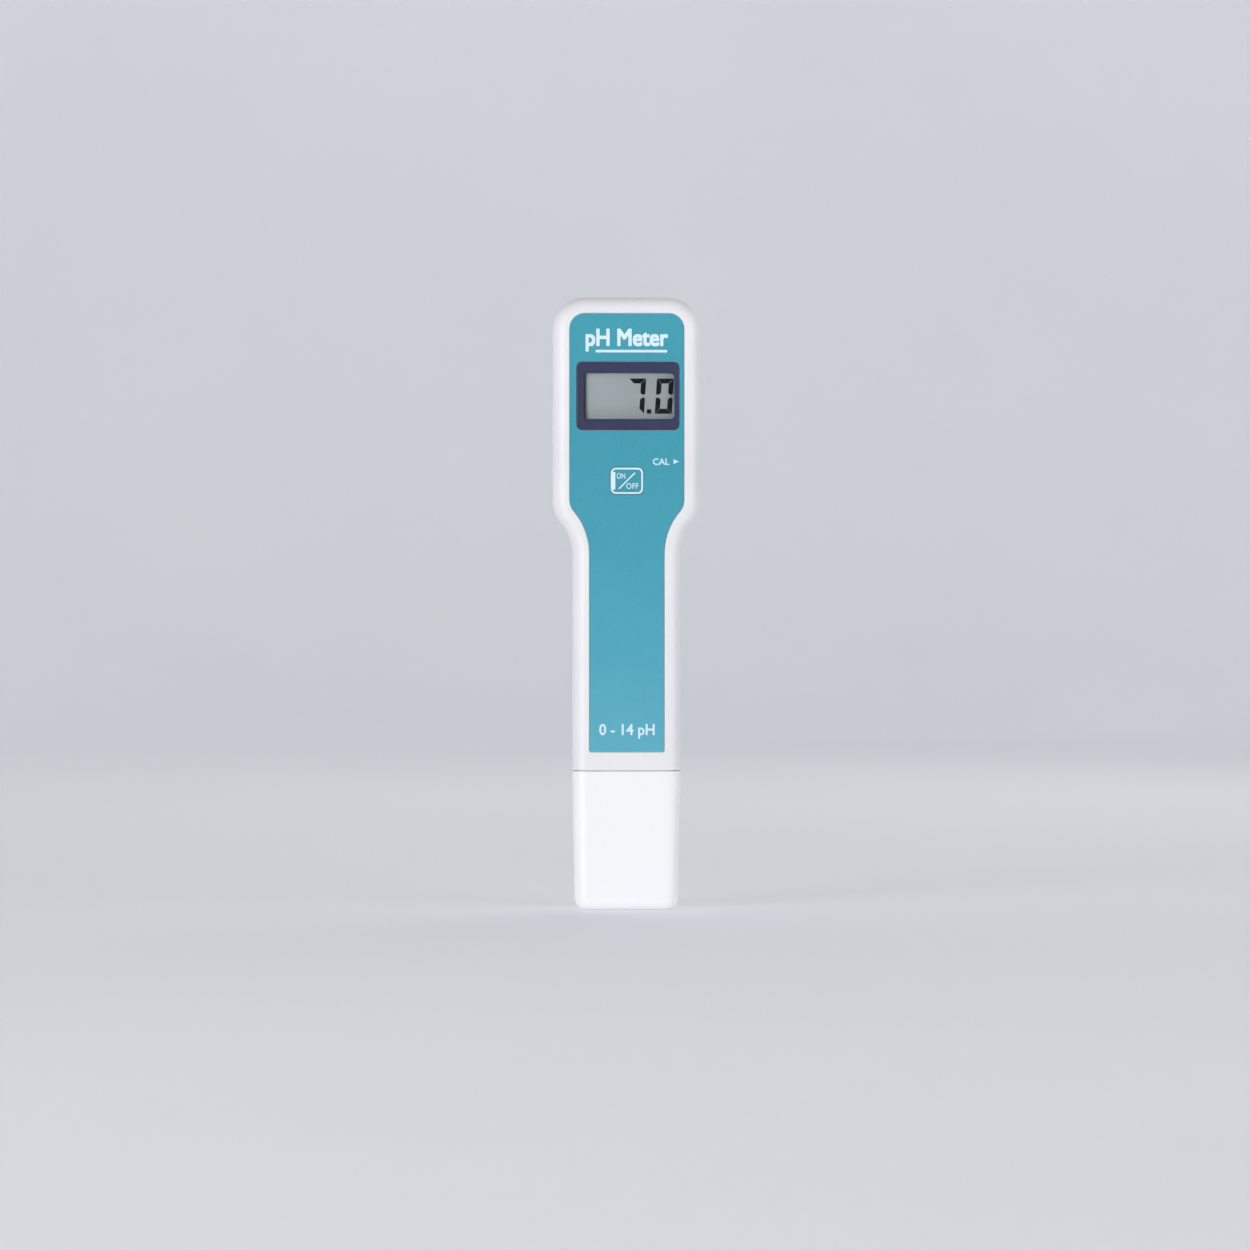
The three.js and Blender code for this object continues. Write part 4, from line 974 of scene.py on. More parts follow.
def taperedBlock(name, width, depth, radius, bottom, top, foot):
    # a rounded block that narrows downwards, as the cap's draft does
    plan = capPlan
    piece = roundedPlate(name, "top", top, bottom - top, width, depth, radius, plan["cornerSteps"])
    for level in (bottom, top):
        share = 1 - plan["draft"] * (capHigh.z - level) / capHigh.z
        workOn(piece, "EDIT")
        selectFaces(piece, lambda centre, normal: near(centre.z, level))
        bpy.ops.transform.resize(value=(share, share, 1), center_override=(0, 0, level))
        finishEdit()
    roundEdges(piece, levelTest("z", bottom), foot, plan["footSteps"], least=0.8)
    return piece


def makeCap():
    plan = capPlan
    width, depth = 2 * capHigh.x, 2 * capHigh.y
    rim = capHigh.z + plan["rise"]
    cap = taperedBlock("protectiveCap", width, depth, plan["radius"], capLow.z, rim, plan["footRadius"])
    cavity = taperedBlock("capCavity", width - 2 * plan["wall"], depth - 2 * plan["wall"],
                          plan["radius"] - plan["wall"] + 0.2 * mm, plan["floor"], capHigh.z + 5 * mm, 1.6 * mm)
    carve(cap, cavity)
    roundEdges(cap, levelTest("z", rim), plan["rimSoftening"], 3, least=1.2)
    return finishPiece(cap, "cap", "cap_plastic", capPlastic, "protective_cap", angle=40)


# ---------- label and printing ----------

labelLow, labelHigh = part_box("face_label")
labelPlan = {"inset": 4.77 * mm, "cornerRadius": 0.55 * mm, "windowPlay": 0.3 * mm, "inkDepth": 0.02 * mm,
             "title": "pH Meter", "titleLeft": -11.8 * mm, "titleRight": 11.8 * mm,
             "titleBase": 160.9 * mm, "titleTop": 166.2 * mm, "titleSpread": 0.19 * mm,
             "lineLeft": -8.95 * mm, "lineRight": 11.5 * mm, "lineHeights": (159.1 * mm, 159.85 * mm),
             "adjust": "CAL", "adjustLeft": 7.4 * mm, "adjustRight": 12.1 * mm,
             "adjustBase": 127.05 * mm, "adjustTop": 129.05 * mm,
             "range": "0 - 14 pH", "rangeLeft": -7.9 * mm, "rangeRight": 7.9 * mm,
             "rangeBase": 50.0 * mm, "rangeTop": 53.4 * mm}


def makeLabel():
    plan, display = labelPlan, displayPlan
    label = drawPath("faceLabel", "front", labelLow.y,
                     *bodyOutline(plan["inset"], labelLow.z, footRadius=plan["cornerRadius"]))
    thicken(label, (0, labelHigh.y - labelLow.y, 0))
    window = roundedPlate("labelWindow", "front", labelLow.y - 1 * mm, 2 * mm, display["width"] + plan["windowPlay"],
                          display["height"] + plan["windowPlay"], display["radius"] + 0.15 * mm, 8, displayMiddle)
    carve(label, window, keyOpening(labelLow.y - 1 * mm, labelHigh.y + 1 * mm))
    roundEdges(label, levelTest("y", labelLow.y), 0.06 * mm, 2)
    return finishPiece(label, "housing", "label_film", labelFilm, "face_label")


def inkPiece(piece, body="housing"):
    return finishPiece(piece, body, "label_film", printInk, weighted=False)


def letters(name, words, left, right, base, top, front, weight=0.0, slotBody="housing", spread=0.0):
    # words set between two sides, with capitals from a base line to a top line
    copies = []
    left, right, base, top = left + spread, right - spread, base + spread, top - spread
    clearSelection()
    bpy.ops.object.text_add(location=(0, 0, 0))
    piece = bpy.context.object
    piece.name = name
    writing = piece.data
    writing.body = words
    writing.resolution_u = 4
    writing.offset = weight
    writing.extrude = 0.5
    bpy.ops.object.convert(target="MESH")
    workOn(piece, "EDIT")
    bpy.ops.mesh.select_mode(type="VERT")
    bpy.ops.mesh.select_all(action="SELECT")
    bpy.ops.mesh.remove_doubles(threshold=0.0005)
    bpy.ops.mesh.normals_make_consistent(inside=False)
    finishEdit()
    low = [min(v.co[i] for v in piece.data.vertices) for i in range(3)]
    high = [max(v.co[i] for v in piece.data.vertices) for i in range(3)]
    capital = 0.729 + 2 * weight
    stretch = ((right - left) / (high[0] - low[0]), (top - base) / capital, labelPlan["inkDepth"] * 1.25)
    piece.rotation_euler = (math.pi / 2, 0, 0)
    piece.scale = stretch
    piece.location = (left - low[0] * stretch[0], front - labelPlan["inkDepth"] * 0.375,
                      base + weight * stretch[1])
    bpy.ops.object.transform_apply(location=True, rotation=True, scale=True)
    for dx, dz in ((spread, spread), (spread, -spread), (-spread, spread), (-spread, -spread)):
        if spread:
            workOn(piece)
            bpy.ops.object.duplicate()
            copy = bpy.context.object
            copy.location = (dx, 0, dz)
            bpy.ops.object.transform_apply(location=True, rotation=True, scale=True)
            copies.append(copy)
    for copy in copies:
        useModifier(piece, "BOOLEAN", operation="UNION", object=copy, solver="MANIFOLD")
        bpy.data.objects.remove(copy)
    return inkPiece(piece, slotBody)


def inkBar(name, xs, zs, front):
    radius = min(xs[1] - xs[0], zs[1] - zs[0]) * 0.3
    return inkPiece(roundedPlate(name, "front", front - labelPlan["inkDepth"], 1.25 * labelPlan["inkDepth"],
                                 xs[1] - xs[0], zs[1] - zs[0], radius, 3,
                                 ((xs[0] + xs[1]) / 2, (zs[0] + zs[1]) / 2)))


def printLabel():
    plan, front = labelPlan, labelLow.y
    letters("printTitle", plan["title"], plan["titleLeft"], plan["titleRight"], plan["titleBase"], plan["titleTop"],
            front, spread=plan["titleSpread"])
    inkBar("printTitleLine", (plan["lineLeft"], plan["lineRight"]), plan["lineHeights"], front)
    letters("printAdjust", plan["adjust"], plan["adjustLeft"], plan["adjustRight"], plan["adjustBase"],
            plan["adjustTop"], front, 0.018)
    letters("printRange", plan["range"], plan["rangeLeft"], plan["rangeRight"], plan["rangeBase"],
            plan["rangeTop"], front, 0.02)
    x, z, size = 13.3 * mm, housingPlan["trimmerHeight"], 0.68 * mm
    arrow = drawPath("printArrow", "front", front + 0.25 * plan["inkDepth"], (x, z - size),
                     [("line", (x + 2.3 * size, z)), ("line", (x, z + size)), ("line", (x, z - size))])
    inkPiece(thicken(arrow, (0, -1.25 * plan["inkDepth"], 0)))


# ---------- power key ----------

keyFace = keyLow.y
keyPadPlan = {"ledge": 0.22 * mm, "ring": 0.58 * mm, "slope": 0.5 * mm, "flange": (11.4 * mm, 9.7 * mm),
              "ringWidth": 0.6 * mm, "slashWidth": 0.42 * mm, "highlightEnd": -3.3 * mm, "highlightHalf": 2.5 * mm}


def makeKey():
    plan, pad = keyPadPlan, keyPlan
    key = roundedPlate("powerKey", "front", keyFace + plan["ledge"], 2 * mm - plan["ledge"], pad["width"],
                       pad["height"], pad["radius"], 8, keyMiddle)
    workOn(key, "EDIT")
    selectFaces(key, lambda centre, normal: near(centre.y, keyFace + plan["ledge"]))
    bpy.ops.mesh.inset(thickness=plan["ring"])
    bpy.ops.mesh.inset(thickness=plan["slope"])
    bpy.ops.transform.translate(value=(0, -plan["ledge"], 0))
    finishEdit()
    outline = levelTest("y", keyFace + plan["ledge"])
    edge = lambda p: max(abs(p.x) - pad["width"] / 2, abs(p.z - keyMiddle[1]) - pad["height"] / 2) > -0.47 * mm
    roundEdges(key, lambda a, b: outline(a, b) and edge(a) and edge(b), 0.1 * mm, 2, least=1.2)
    width, height = plan["flange"]
    weld(key, roundedPlate("keyFlange", "front", -10.1 * mm, 0.6 * mm, width, height, 1.2 * mm, 5, keyMiddle))
    weld(key, rod("keyPusher", "y", 1.9 * mm, (-9.7 * mm, keyHigh.y), keyMiddle, 40))
    return finishPiece(key, "key", "key_plastic", keyPlastic, "power_key", angle=30)


def printKey():
    plan, pad, ink = keyPadPlan, keyPlan, labelPlan["inkDepth"]
    ledge = keyFace + plan["ledge"]
    width, height, thick = pad["width"] - 0.14 * mm, pad["height"] - 0.16 * mm, plan["ringWidth"] - 0.05 * mm
    ring = roundedPlate("printKeyRing", "front", ledge - ink, 1.25 * ink, width, height, 1.5 * mm, 8, keyMiddle)
    carve(ring, roundedPlate("ringInside", "front", ledge - 1 * mm, 2 * mm, width - 2 * thick, height - 2 * thick,
                             1.0 * mm, 8, keyMiddle))
    inkPiece(ring, "key")
    z, half = keyMiddle[1], plan["slashWidth"] / 2
    slash = drawPath("printKeySlash", "front", keyFace + 0.25 * ink, (-2.35 * mm - half, z - 2.3 * mm),
                     [("line", (-2.35 * mm + half * 1.6, z - 2.3 * mm)), ("line", (2.35 * mm + half, z + 2.3 * mm)),
                      ("line", (2.35 * mm - half * 1.6, z + 2.3 * mm)), ("line", (-2.35 * mm - half, z - 2.3 * mm))])
    inkPiece(thicken(slash, (0, -1.25 * ink, 0)), "key")
    letters("printOn", "ON", -2.9 * mm, -0.5 * mm, z + 0.6 * mm, z + 2.3 * mm, keyFace, 0.01, "key")
    letters("printOff", "OFF", -0.2 * mm, 3.3 * mm, z - 2.3 * mm, z - 0.6 * mm, keyFace, 0.01, "key")
    # the ring is drawn wider on the left, up the slope: white ink as a painted highlight where the embossed edge
    # would catch the light
    foot, end = plan["ring"] - pad["width"] / 2, plan["highlightEnd"]
    crest = foot + plan["slope"]
    over = 0.25 * ink
    bar = drawPath("printKeyPaintedHighlight", "top", z - plan["highlightHalf"], (foot, ledge + over),
                   [("line", corner) for corner in (
                       (crest, keyFace + over), (end, keyFace + over), (end, keyFace - ink), (crest, keyFace - ink),
                       (foot, ledge - ink), (foot, ledge + over))])
    inkPiece(thicken(bar, (0, 0, 2 * plan["highlightHalf"])), "key")


# ---------- display ----------

def makeBezel():
    display = displayPlan
    bezel = roundedPlate("displayBezel", "front", bezelLow.y, 0.8 * mm, display["width"], display["height"],
                         display["radius"], 8, displayMiddle)
    weld(bezel, roundedPlate("bezelNeck", "front", bezelLow.y + 0.5 * mm, bezelHigh.y - bezelLow.y - 0.5 * mm,
                             display["neckWidth"], display["neckHeight"], 1.1 * mm, 6, displayMiddle))
    carve(bezel, roundedPlate("bezelOpening", "front", bezelLow.y - 1 * mm, 4 * mm, display["viewWidth"],
                              display["viewHeight"], display["viewRadius"], 6, viewMiddle))
    roundEdges(bezel, levelTest("y", bezelLow.y), 0.16 * mm, 3)
    return finishPiece(bezel, "housing", "bezel_plastic", bezelPlastic, "display_bezel")


def makeLens():
    low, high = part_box("display_lens")
    lens = roundedPlate("displayLens", "front", low.y, high.y - low.y, high.x - low.x, high.z - low.z, 0.9 * mm, 6,
                        displayMiddle)
    roundEdges(lens, levelTest("y", low.y), 0.08 * mm, 2)
    return finishPiece(lens, "housing", "clear_window", clearWindow, "display_lens")


digitPlan = {"height": 10.05 * mm, "base": 141.7 * mm, "width": 4.85 * mm, "stroke": 1.42 * mm, "gap": 0.05 * mm,
             "middleGap": 0.34 * mm, "slant": 0.063, "lefts": (0.07 * mm, 7.98 * mm), "shown": ("abc", "abcdef"),
             "thickness": 0.03 * mm, "pointLeft": 5.72 * mm, "pointSize": 1.27 * mm}


def segmentCorners(letter, plan):
    # the mitred outline of one bar of a seven-bar figure, before it is slanted
    w, h, t, g = plan["width"], plan["height"], plan["stroke"], plan["gap"]
    above, below = h / 2 + plan["middleGap"], h / 2 - plan["middleGap"]
    return {
        "a": [(g, h), (w - g, h), (w - t - g, h - t), (t + g, h - t)],
        "b": [(w, h - g), (w, above + t * 0.2), (w - t * 0.4, above), (w - t, above + t * 0.4), (w - t, h - t - g)],
        "c": [(w, g), (w - t, t + g), (w - t, below - t * 0.4), (w - t * 0.4, below), (w, below - t * 0.2)],
        "d": [(g, 0), (t + g, t), (w - t - g, t), (w - g, 0)],
        "e": [(0, g), (0, below - t * 0.2), (t * 0.4, below), (t, below - t * 0.4), (t, t + g)],
        "f": [(0, h - g), (t, h - t - g), (t, above + t * 0.4), (t * 0.4, above), (0, above + t * 0.2)],
    }[letter]


def makeDigits(face):
    plan = digitPlan
    back = face + 0.2 * plan["thickness"]
    for place, (left, bars) in enumerate(zip(plan["lefts"], plan["shown"])):
        for letter in bars:
            corners = [(left + x + plan["slant"] * y, plan["base"] + y) for x, y in segmentCorners(letter, plan)]
            bar = drawPath(f"segment{place + 1}{letter}", "front", back, corners[0],
                           [("line", corner) for corner in corners[1:] + corners[:1]])
            thicken(bar, (0, -plan["thickness"], 0))
            finishPiece(bar, "housing", "display_glass", segmentInk, weighted=False)
    size = plan["pointSize"]
    point = roundedPlate("segmentPoint", "front", back - plan["thickness"], plan["thickness"], size, size,
                         0.12 * mm, 3, (plan["pointLeft"] + size / 2, plan["base"] + size / 2))
    finishPiece(point, "housing", "display_glass", segmentInk, weighted=False)


def makeDisplayCell():
    low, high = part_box("lcd_front_glass")
    cell = boxBlock("displayCell", (low.x, high.x), (low.y, high.y), (low.z, high.z))
    roundEdges(cell, lambda a, b: True, 0.08 * mm, 2)
    workOn(cell, "EDIT")
    selectFaces(cell, lambda centre, normal: normal.y < -0.99)
    bpy.ops.mesh.inset(thickness=0.9 * mm)
    finishEdit()
    finishPiece(cell, "housing", "display_glass", displayFace, "lcd_front_glass")
    # a dark strip along the left of the view window: a painted shadow standing for the shade the bezel's inner wall
    # casts on the cell
    left = viewMiddle[0] - displayPlan["viewWidth"] / 2
    seal = roundedPlate("displayPaintedShadow", "front", low.y - 0.02 * mm, 0.03 * mm, 2.0 * mm, 14.6 * mm, 0.5 * mm, 4,
                        (left - 0.15 * mm, displayMiddle[1]))
    finishPiece(seal, "housing", "display_glass", sealRubberAndPaintedShadow, weighted=False)
    makeDigits(low.y)


# ---------- turned pieces ----------

def lathe(name, axis, profile, steps=48, place=(0, 0, 0)):
    # a profile of (radius, along) points turned about an axis; ends at radius 0 close it
    swap = axis == "x"
    points = [(along, radius) if swap else (radius, along) for radius, along in profile]
    plane = {"z": "front", "y": "top", "x": "top"}[axis]
    piece = drawPath(name, plane, 0, points[0], [("line", point) for point in points[1:]], fill=False)
    workOn(piece, "EDIT")
    bpy.ops.mesh.select_all(action="SELECT")
    turn = {"x": (1, 0, 0), "y": (0, 1, 0), "z": (0, 0, 1)}[axis]
    bpy.ops.mesh.spin(steps=steps, angle=2 * math.pi, center=(0, 0, 0), axis=turn)
    bpy.ops.mesh.select_all(action="SELECT")
    bpy.ops.mesh.remove_doubles(threshold=0.002 * mm)
    bpy.ops.mesh.normals_make_consistent(inside=False)
    bpy.ops.transform.translate(value=place)
    finishEdit()
    return piece


def arcPoints(centre, radius, start, end, steps):
    # (radius, along) points of an arc on a turned profile
    return [(centre[0] + radius * math.cos(math.radians(start + (end - start) * i / steps)),
             centre[1] + radius * math.sin(math.radians(start + (end - start) * i / steps)))
            for i in range(steps + 1)]


def screwProfile(headRadius, headBack, headFront, shankRadius, tip, pitch):
    # a pan head at +Y with a ridged shank towards -Y
    profile = [(0, headBack), (headRadius * 0.55, headBack - 0.04 * mm),
               (headRadius * 0.88, headBack - 0.22 * mm), (headRadius, headBack - 0.6 * mm),
               (headRadius, headFront + 0.1 * mm), (headRadius - 0.1 * mm, headFront), (shankRadius, headFront)]
    y = headFront - 2.5 * pitch
    while y - pitch > tip + 1.2 * shankRadius:
        profile += [(shankRadius * 0.78, y), (shankRadius, y - pitch * 0.4), (shankRadius * 0.78, y - pitch * 0.8)]
        y -= pitch
    return profile + [(shankRadius * 0.7, tip + 0.9 * shankRadius), (shankRadius * 0.2, tip + 0.1 * mm), (0, tip)]


screwPlans = {
    "case": {"count": 4, "headRadius": 2.3 * mm, "headThickness": 1.75 * mm, "shankRadius": 1.1 * mm,
             "pitch": 1.3 * mm},
    "board": {"count": 3, "headRadius": 2.1 * mm, "headThickness": 1.45 * mm, "shankRadius": 0.8 * mm,
              "pitch": 0.9 * mm},
    "crossReach": 0.62, "crossHalf": 0.24 * mm, "crossDepth": 0.75 * mm, "crossNarrowing": 0.45, "turnStep": 0.6,
}


def makeScrews(kind):
    # one screw is turned and its cross cut, then it is copied to every place
    plan, cross = screwPlans[kind], screwPlans
    low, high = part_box(f"{kind}_screw_1")
    profile = screwProfile(plan["headRadius"], high.y, high.y - plan["headThickness"], plan["shankRadius"], low.y,
                           plan["pitch"])
    master = lathe("screwMaster", "y", profile, 32)
    reach, half = plan["headRadius"] * cross["crossReach"], cross["crossHalf"]
    floor, narrow = high.y - cross["crossDepth"], cross["crossNarrowing"]
    for a, b in ((reach, half), (half, reach)):
        slot = boxBlock("driveSlot", (-a, a), (floor, high.y + 1 * mm), (-b, b))
        workOn(slot, "EDIT")
        selectFaces(slot, lambda centre, normal: normal.y < -0.9)
        bpy.ops.transform.resize(value=(narrow, 1, narrow), center_override=(0, floor, 0))
        finishEdit()
        carve(master, slot)
    cleanUp(master, 30)
    for number in range(1, plan["count"] + 1):
        node = f"{kind}_screw_{number}"
        low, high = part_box(node)
        middle = ((low.x + high.x) / 2, 0, (low.z + high.z) / 2)
        workOn(master)
        bpy.ops.object.duplicate()
        screw = bpy.context.object
        screw.name = f"{kind}Screw{number}"
        screw.location = middle
        bpy.ops.object.transform_apply(location=True, rotation=True, scale=True)
        workOn(screw, "EDIT")
        bpy.ops.mesh.select_all(action="SELECT")
        bpy.ops.transform.rotate(value=cross["turnStep"] * number, orient_axis="Y", center_override=middle)
        finishEdit()
        screw.data.materials.clear()
        screw.data.materials.append(screwSteel)
        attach(screw, "housing")
        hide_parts(node)
    bpy.data.objects.remove(master)


rotorPlan = {"slotHalf": 0.3 * mm, "slotDepth": 0.7 * mm, "dish": 0.05 * mm, "slotSoftening": 0.05 * mm}


def makeTrimmerRotor():
    plan = rotorPlan
    low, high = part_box("trimmer_rotor")
    middle = (0, (low.y + high.y) / 2, (low.z + high.z) / 2)
    radius, dish, half = (high.y - low.y) / 2, high.x - plan["dish"], plan["slotHalf"]
    profile = [(0, dish), (radius * 0.75, dish), (radius * 0.8, high.x),
               (radius - 0.12 * mm, high.x), (radius, high.x - 0.12 * mm), (radius, low.x + 0.1 * mm),
               (radius - 0.1 * mm, low.x), (0, low.x)]
    rotor = lathe("trimmerRotor", "x", profile, 40, middle)
    carve(rotor, boxBlock("rotorSlot", (high.x - plan["slotDepth"], high.x + 1 * mm),
                          (-radius - 1 * mm, radius + 1 * mm), (middle[2] - half, middle[2] + half)))
    onDish = levelTest("x", dish)
    atSlot = lambda p: near(abs(p.z - middle[2]), half)
    roundEdges(rotor, lambda a, b: onDish(a, b) and atSlot(a) and atSlot(b), plan["slotSoftening"], 2, least=0.8)
    return finishPiece(rotor, "trimmer", "brass", brassMetal, "trimmer_rotor")


# ---------- probe ----------

collarPlan = {
    "core": (26 * mm, 19.2 * mm, 1.7 * mm), "lower": (27 * mm, 20.2 * mm, 2.2 * mm),
    "upper": (26.8 * mm, 20 * mm, 2 * mm), "step": 1 * mm, "lowerHeight": 6.8 * mm, "upperBottom": 39.1 * mm,
    "grooveBottom": 34.6 * mm, "grooveHeight": 1.8 * mm, "grooveCore": (25 * mm, 18.2 * mm, 1.2 * mm),
    "lockHalf": 10.8 * mm, "lockDepth": 9.1 * mm, "lockHeights": (42.4 * mm, 44.6 * mm), "bore": 6.15 * mm,
    "coreSoftening": 0.35 * mm, "lowerSoftening": 0.45 * mm, "boreSoftening": 0.12 * mm,
}


def makeCollar():
    # width, depth and corner radius are given for each of the collar's three blocks
    plan = collarPlan
    low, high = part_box("probe_collar")
    atFoot, step, upper = levelTest("z", low.z), low.z + plan["step"], plan["upperBottom"]
    collar = roundedPlate("probeCollar", "top", low.z, high.z - low.z, *plan["core"], 8)
    roundEdges(collar, atFoot, plan["coreSoftening"], 3)
    lower = roundedPlate("collarLower", "top", step, plan["lowerHeight"], *plan["lower"], 8)
    roundEdges(lower, levelTest("z", step), plan["lowerSoftening"], 3)
    weld(collar, lower, roundedPlate("collarUpper", "top", upper, high.z - upper, *plan["upper"], 8))
    groove = roundedPlate("sealGroove", "top", plan["grooveBottom"], plan["grooveHeight"], 40 * mm, 40 * mm,
                          2 * mm, 4)
    carve(groove, roundedPlate("grooveCore", "top", 34 * mm, 3 * mm, *plan["grooveCore"], 6))
    locks = [boxBlock("lockGroove", (-plan["lockHalf"], plan["lockHalf"]),
                      sorted((side * plan["lockDepth"], side * 12 * mm)), plan["lockHeights"]) for side in (-1, 1)]
    carve(collar, groove, *locks, rod("collarBore", "z", plan["bore"], (30 * mm, 50 * mm), (0, 0), 64))
    nearBore = lambda p: p.xy.length < plan["bore"] + 0.15 * mm
    roundEdges(collar, lambda a, b: atFoot(a, b) and nearBore(a) and nearBore(b), plan["boreSoftening"], 2)
    return finishPiece(collar, "housing", "cap_plastic", capPlastic, "probe_collar")


sealPlan = {"corner": 2.3 * mm, "inside": (25.15 * mm, 18.35 * mm, 1.3 * mm), "roundness": 0.5 * mm}


def makeSeal():
    plan = sealPlan
    low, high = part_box("collar_seal")
    seal = roundedPlate("collarSeal", "top", low.z, high.z - low.z, 2 * high.x, 2 * high.y, plan["corner"], 8)
    carve(seal, roundedPlate("sealInside", "top", 30 * mm, 10 * mm, *plan["inside"], 6))
    rim = lambda p: abs(p.x) > 13 * mm or abs(p.y) > 9.6 * mm or (abs(p.x) > 12.6 * mm and abs(p.y) > 9.2 * mm)
    for level in (low.z, high.z):
        flat = levelTest("z", level)
        roundEdges(seal, lambda a, b: flat(a, b) and rim(a) and rim(b), plan["roundness"], 5)
    return finishPiece(seal, "housing", "seal_rubber", sealRubberAndPaintedShadow, "collar_seal", angle=50)


probePlan = {"bore": 4.2 * mm, "cableBore": 1.05 * mm, "boreTop": 43 * mm, "lineHeight": 26 * mm,
             "lineDepth": 0.12 * mm, "foot": 0.3 * mm, "head": 0.2 * mm}


def makeProbeBody():
    plan = probePlan
    low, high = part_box("probe_body")
    outer, inner, cable, top = high.x, plan["bore"], plan["cableBore"], plan["boreTop"]
    line, sunk = plan["lineHeight"], high.x - plan["lineDepth"]
    profile = [(inner, low.z), (outer - plan["foot"], low.z), (outer, low.z + plan["foot"]), (outer, line),
               (sunk, line + 0.1 * mm), (sunk, line + 0.5 * mm), (outer, line + 0.6 * mm),
               (outer, high.z - plan["head"]), (outer - plan["head"], high.z), (cable, high.z), (cable, top),
               (inner, top), (inner, low.z)]
    probe = lathe("probeBody", "z", profile, 64)
    return finishPiece(probe, "housing", "probe_epoxy", probeEpoxy, "probe_body", angle=30)


bulbPlan = {"stem": 3 * mm, "skin": 0.5 * mm, "stemStart": 3.6 * mm, "stemStartInside": 3.4 * mm, "lip": 0.2 * mm}


def makeBulb():
    plan = bulbPlan
    low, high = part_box("glass_bulb")
    ball, stem, skin, z = high.x, plan["stem"], plan["skin"], low.z + high.x
    meet = math.degrees(math.acos(stem / ball))
    meetInside = math.degrees(math.acos((stem - skin) / (ball - skin)))
    profile = arcPoints((0, z), ball, -90, meet - 8, 20)
    profile += [(stem, z + plan["stemStart"]), (stem, high.z - plan["lip"]), (stem - plan["lip"], high.z),
                (stem - skin, high.z), (stem - skin, z + plan["stemStartInside"])]
    profile += arcPoints((0, z), ball - skin, meetInside - 8, -90, 20)
    profile[0], profile[-1] = (0, profile[0][1]), (0, profile[-1][1])
    bulb = lathe("glassBulb", "z", profile, 56)
    return finishPiece(bulb, "housing", "bulb_glass", bulbGlass, "glass_bulb", angle=50)


guardPlan = {
    "sleeve": 6.1 * mm, "room": 5.3 * mm, "step": 15.6 * mm, "roundness": 0.5 * mm, "lip": 0.15 * mm,
    "ringHeights": (17.4 * mm, 18.6 * mm, 19.8 * mm), "ringDepth": 0.22 * mm,
    "windowHalf": 2.6 * mm, "windowHeights": (6.4 * mm, 14.6 * mm), "windowCorner": 1.2 * mm,
}


def makeGuard():
    plan = guardPlan
    low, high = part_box("probe_guard")
    outer, sleeve, room, step = high.x, plan["sleeve"], plan["room"], plan["step"]
    turn, lip, sunk = plan["roundness"], plan["lip"], high.x - plan["ringDepth"]
    profile = [(room, low.z + lip), (room + lip, low.z), (outer - turn, low.z)]
    profile += arcPoints((outer - turn, low.z + turn), turn, -90, 0, 6)
    for z in plan["ringHeights"]:      # grip rings round the sleeve
        profile += [(outer, z), (sunk, z + 0.15 * mm), (sunk, z + 0.45 * mm), (outer, z + 0.6 * mm)]
    profile += arcPoints((outer - turn, high.z - turn), turn, 0, 90, 6)
    profile += [(sleeve, high.z), (sleeve, step), (room, step), (room, low.z + lip)]
    guard = lathe("probeGuard", "z", profile, 64)
    half = plan["windowHalf"]
    for index, reachX, reachY in ((1, 20 * mm, half), (0, half, 20 * mm)):
        window = boxBlock("guardWindow", (-reachX, reachX), (-reachY, reachY), plan["windowHeights"])
        roundEdges(window, lambda a, b: near(abs(a[index]), half) and near(a[index], b[index]) and near(a.z, b.z),
                   plan["windowCorner"], 5)
        carve(guard, window)
    return finishPiece(guard, "housing", "guard_plastic", guardPlastic, "probe_guard", angle=40)


# ---------- battery and clip ----------

batteryPlan = {"corner": 2.6 * mm, "seamDepth": 0.12 * mm, "bodySteps": 8, "rolledEdge": 0.55 * mm,
               "rollWidth": 0.5 * mm, "signSize": 3.0 * mm, "signStroke": 0.75 * mm, "signX": 6.35 * mm,
               "signHeight": 91.5 * mm, "words": "9 V", "wordsHalf": 5.5 * mm, "wordsHeight": (60 * mm, 67 * mm),
               "plateCorner": 2.1 * mm, "plateSoftening": 0.12 * mm}


def makeBattery():
    plan = batteryPlan
    low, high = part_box("battery_jacket")
    middle = (0, (low.y + high.y) / 2)
    width, depth = high.x - low.x, high.y - low.y
    jacket = roundedPlate("batteryJacket", "top", low.z, high.z - low.z, width, depth, plan["corner"],
                          plan["bodySteps"], middle)
    for level, inwards in ((low.z, 1), (high.z, -1)):
        roundEdges(jacket, levelTest("z", level), plan["rolledEdge"], 4, least=0.8)
        workOn(jacket, "EDIT")
        selectFaces(jacket, lambda centre, normal: near(centre.z, level) and abs(normal.z) > 0.99)
        bpy.ops.mesh.inset(thickness=plan["rollWidth"])
        bpy.ops.transform.translate(value=(0, 0, inwards * plan["seamDepth"] * 2))
        finishEdit()
    finishPiece(jacket, "housing", "battery_jacket", jacketPrint, "battery_jacket")
    back = high.y
    words = letters("batteryWords", plan["words"], -plan["wordsHalf"], plan["wordsHalf"], *plan["wordsHeight"], back,
                    0.012)
    turnPrintBack(words, back)
    makeSign("batteryPlus", -1, 2, back)
    makeSign("batteryMinus", 1, 1, back)


def turnPrintBack(piece, back):
    # print made for the front is turned to stand on the back face
    workOn(piece, "EDIT")
    bpy.ops.mesh.select_all(action="SELECT")
    bpy.ops.transform.rotate(value=math.pi, orient_axis="Z", center_override=(0, back, 0))
    finishEdit()


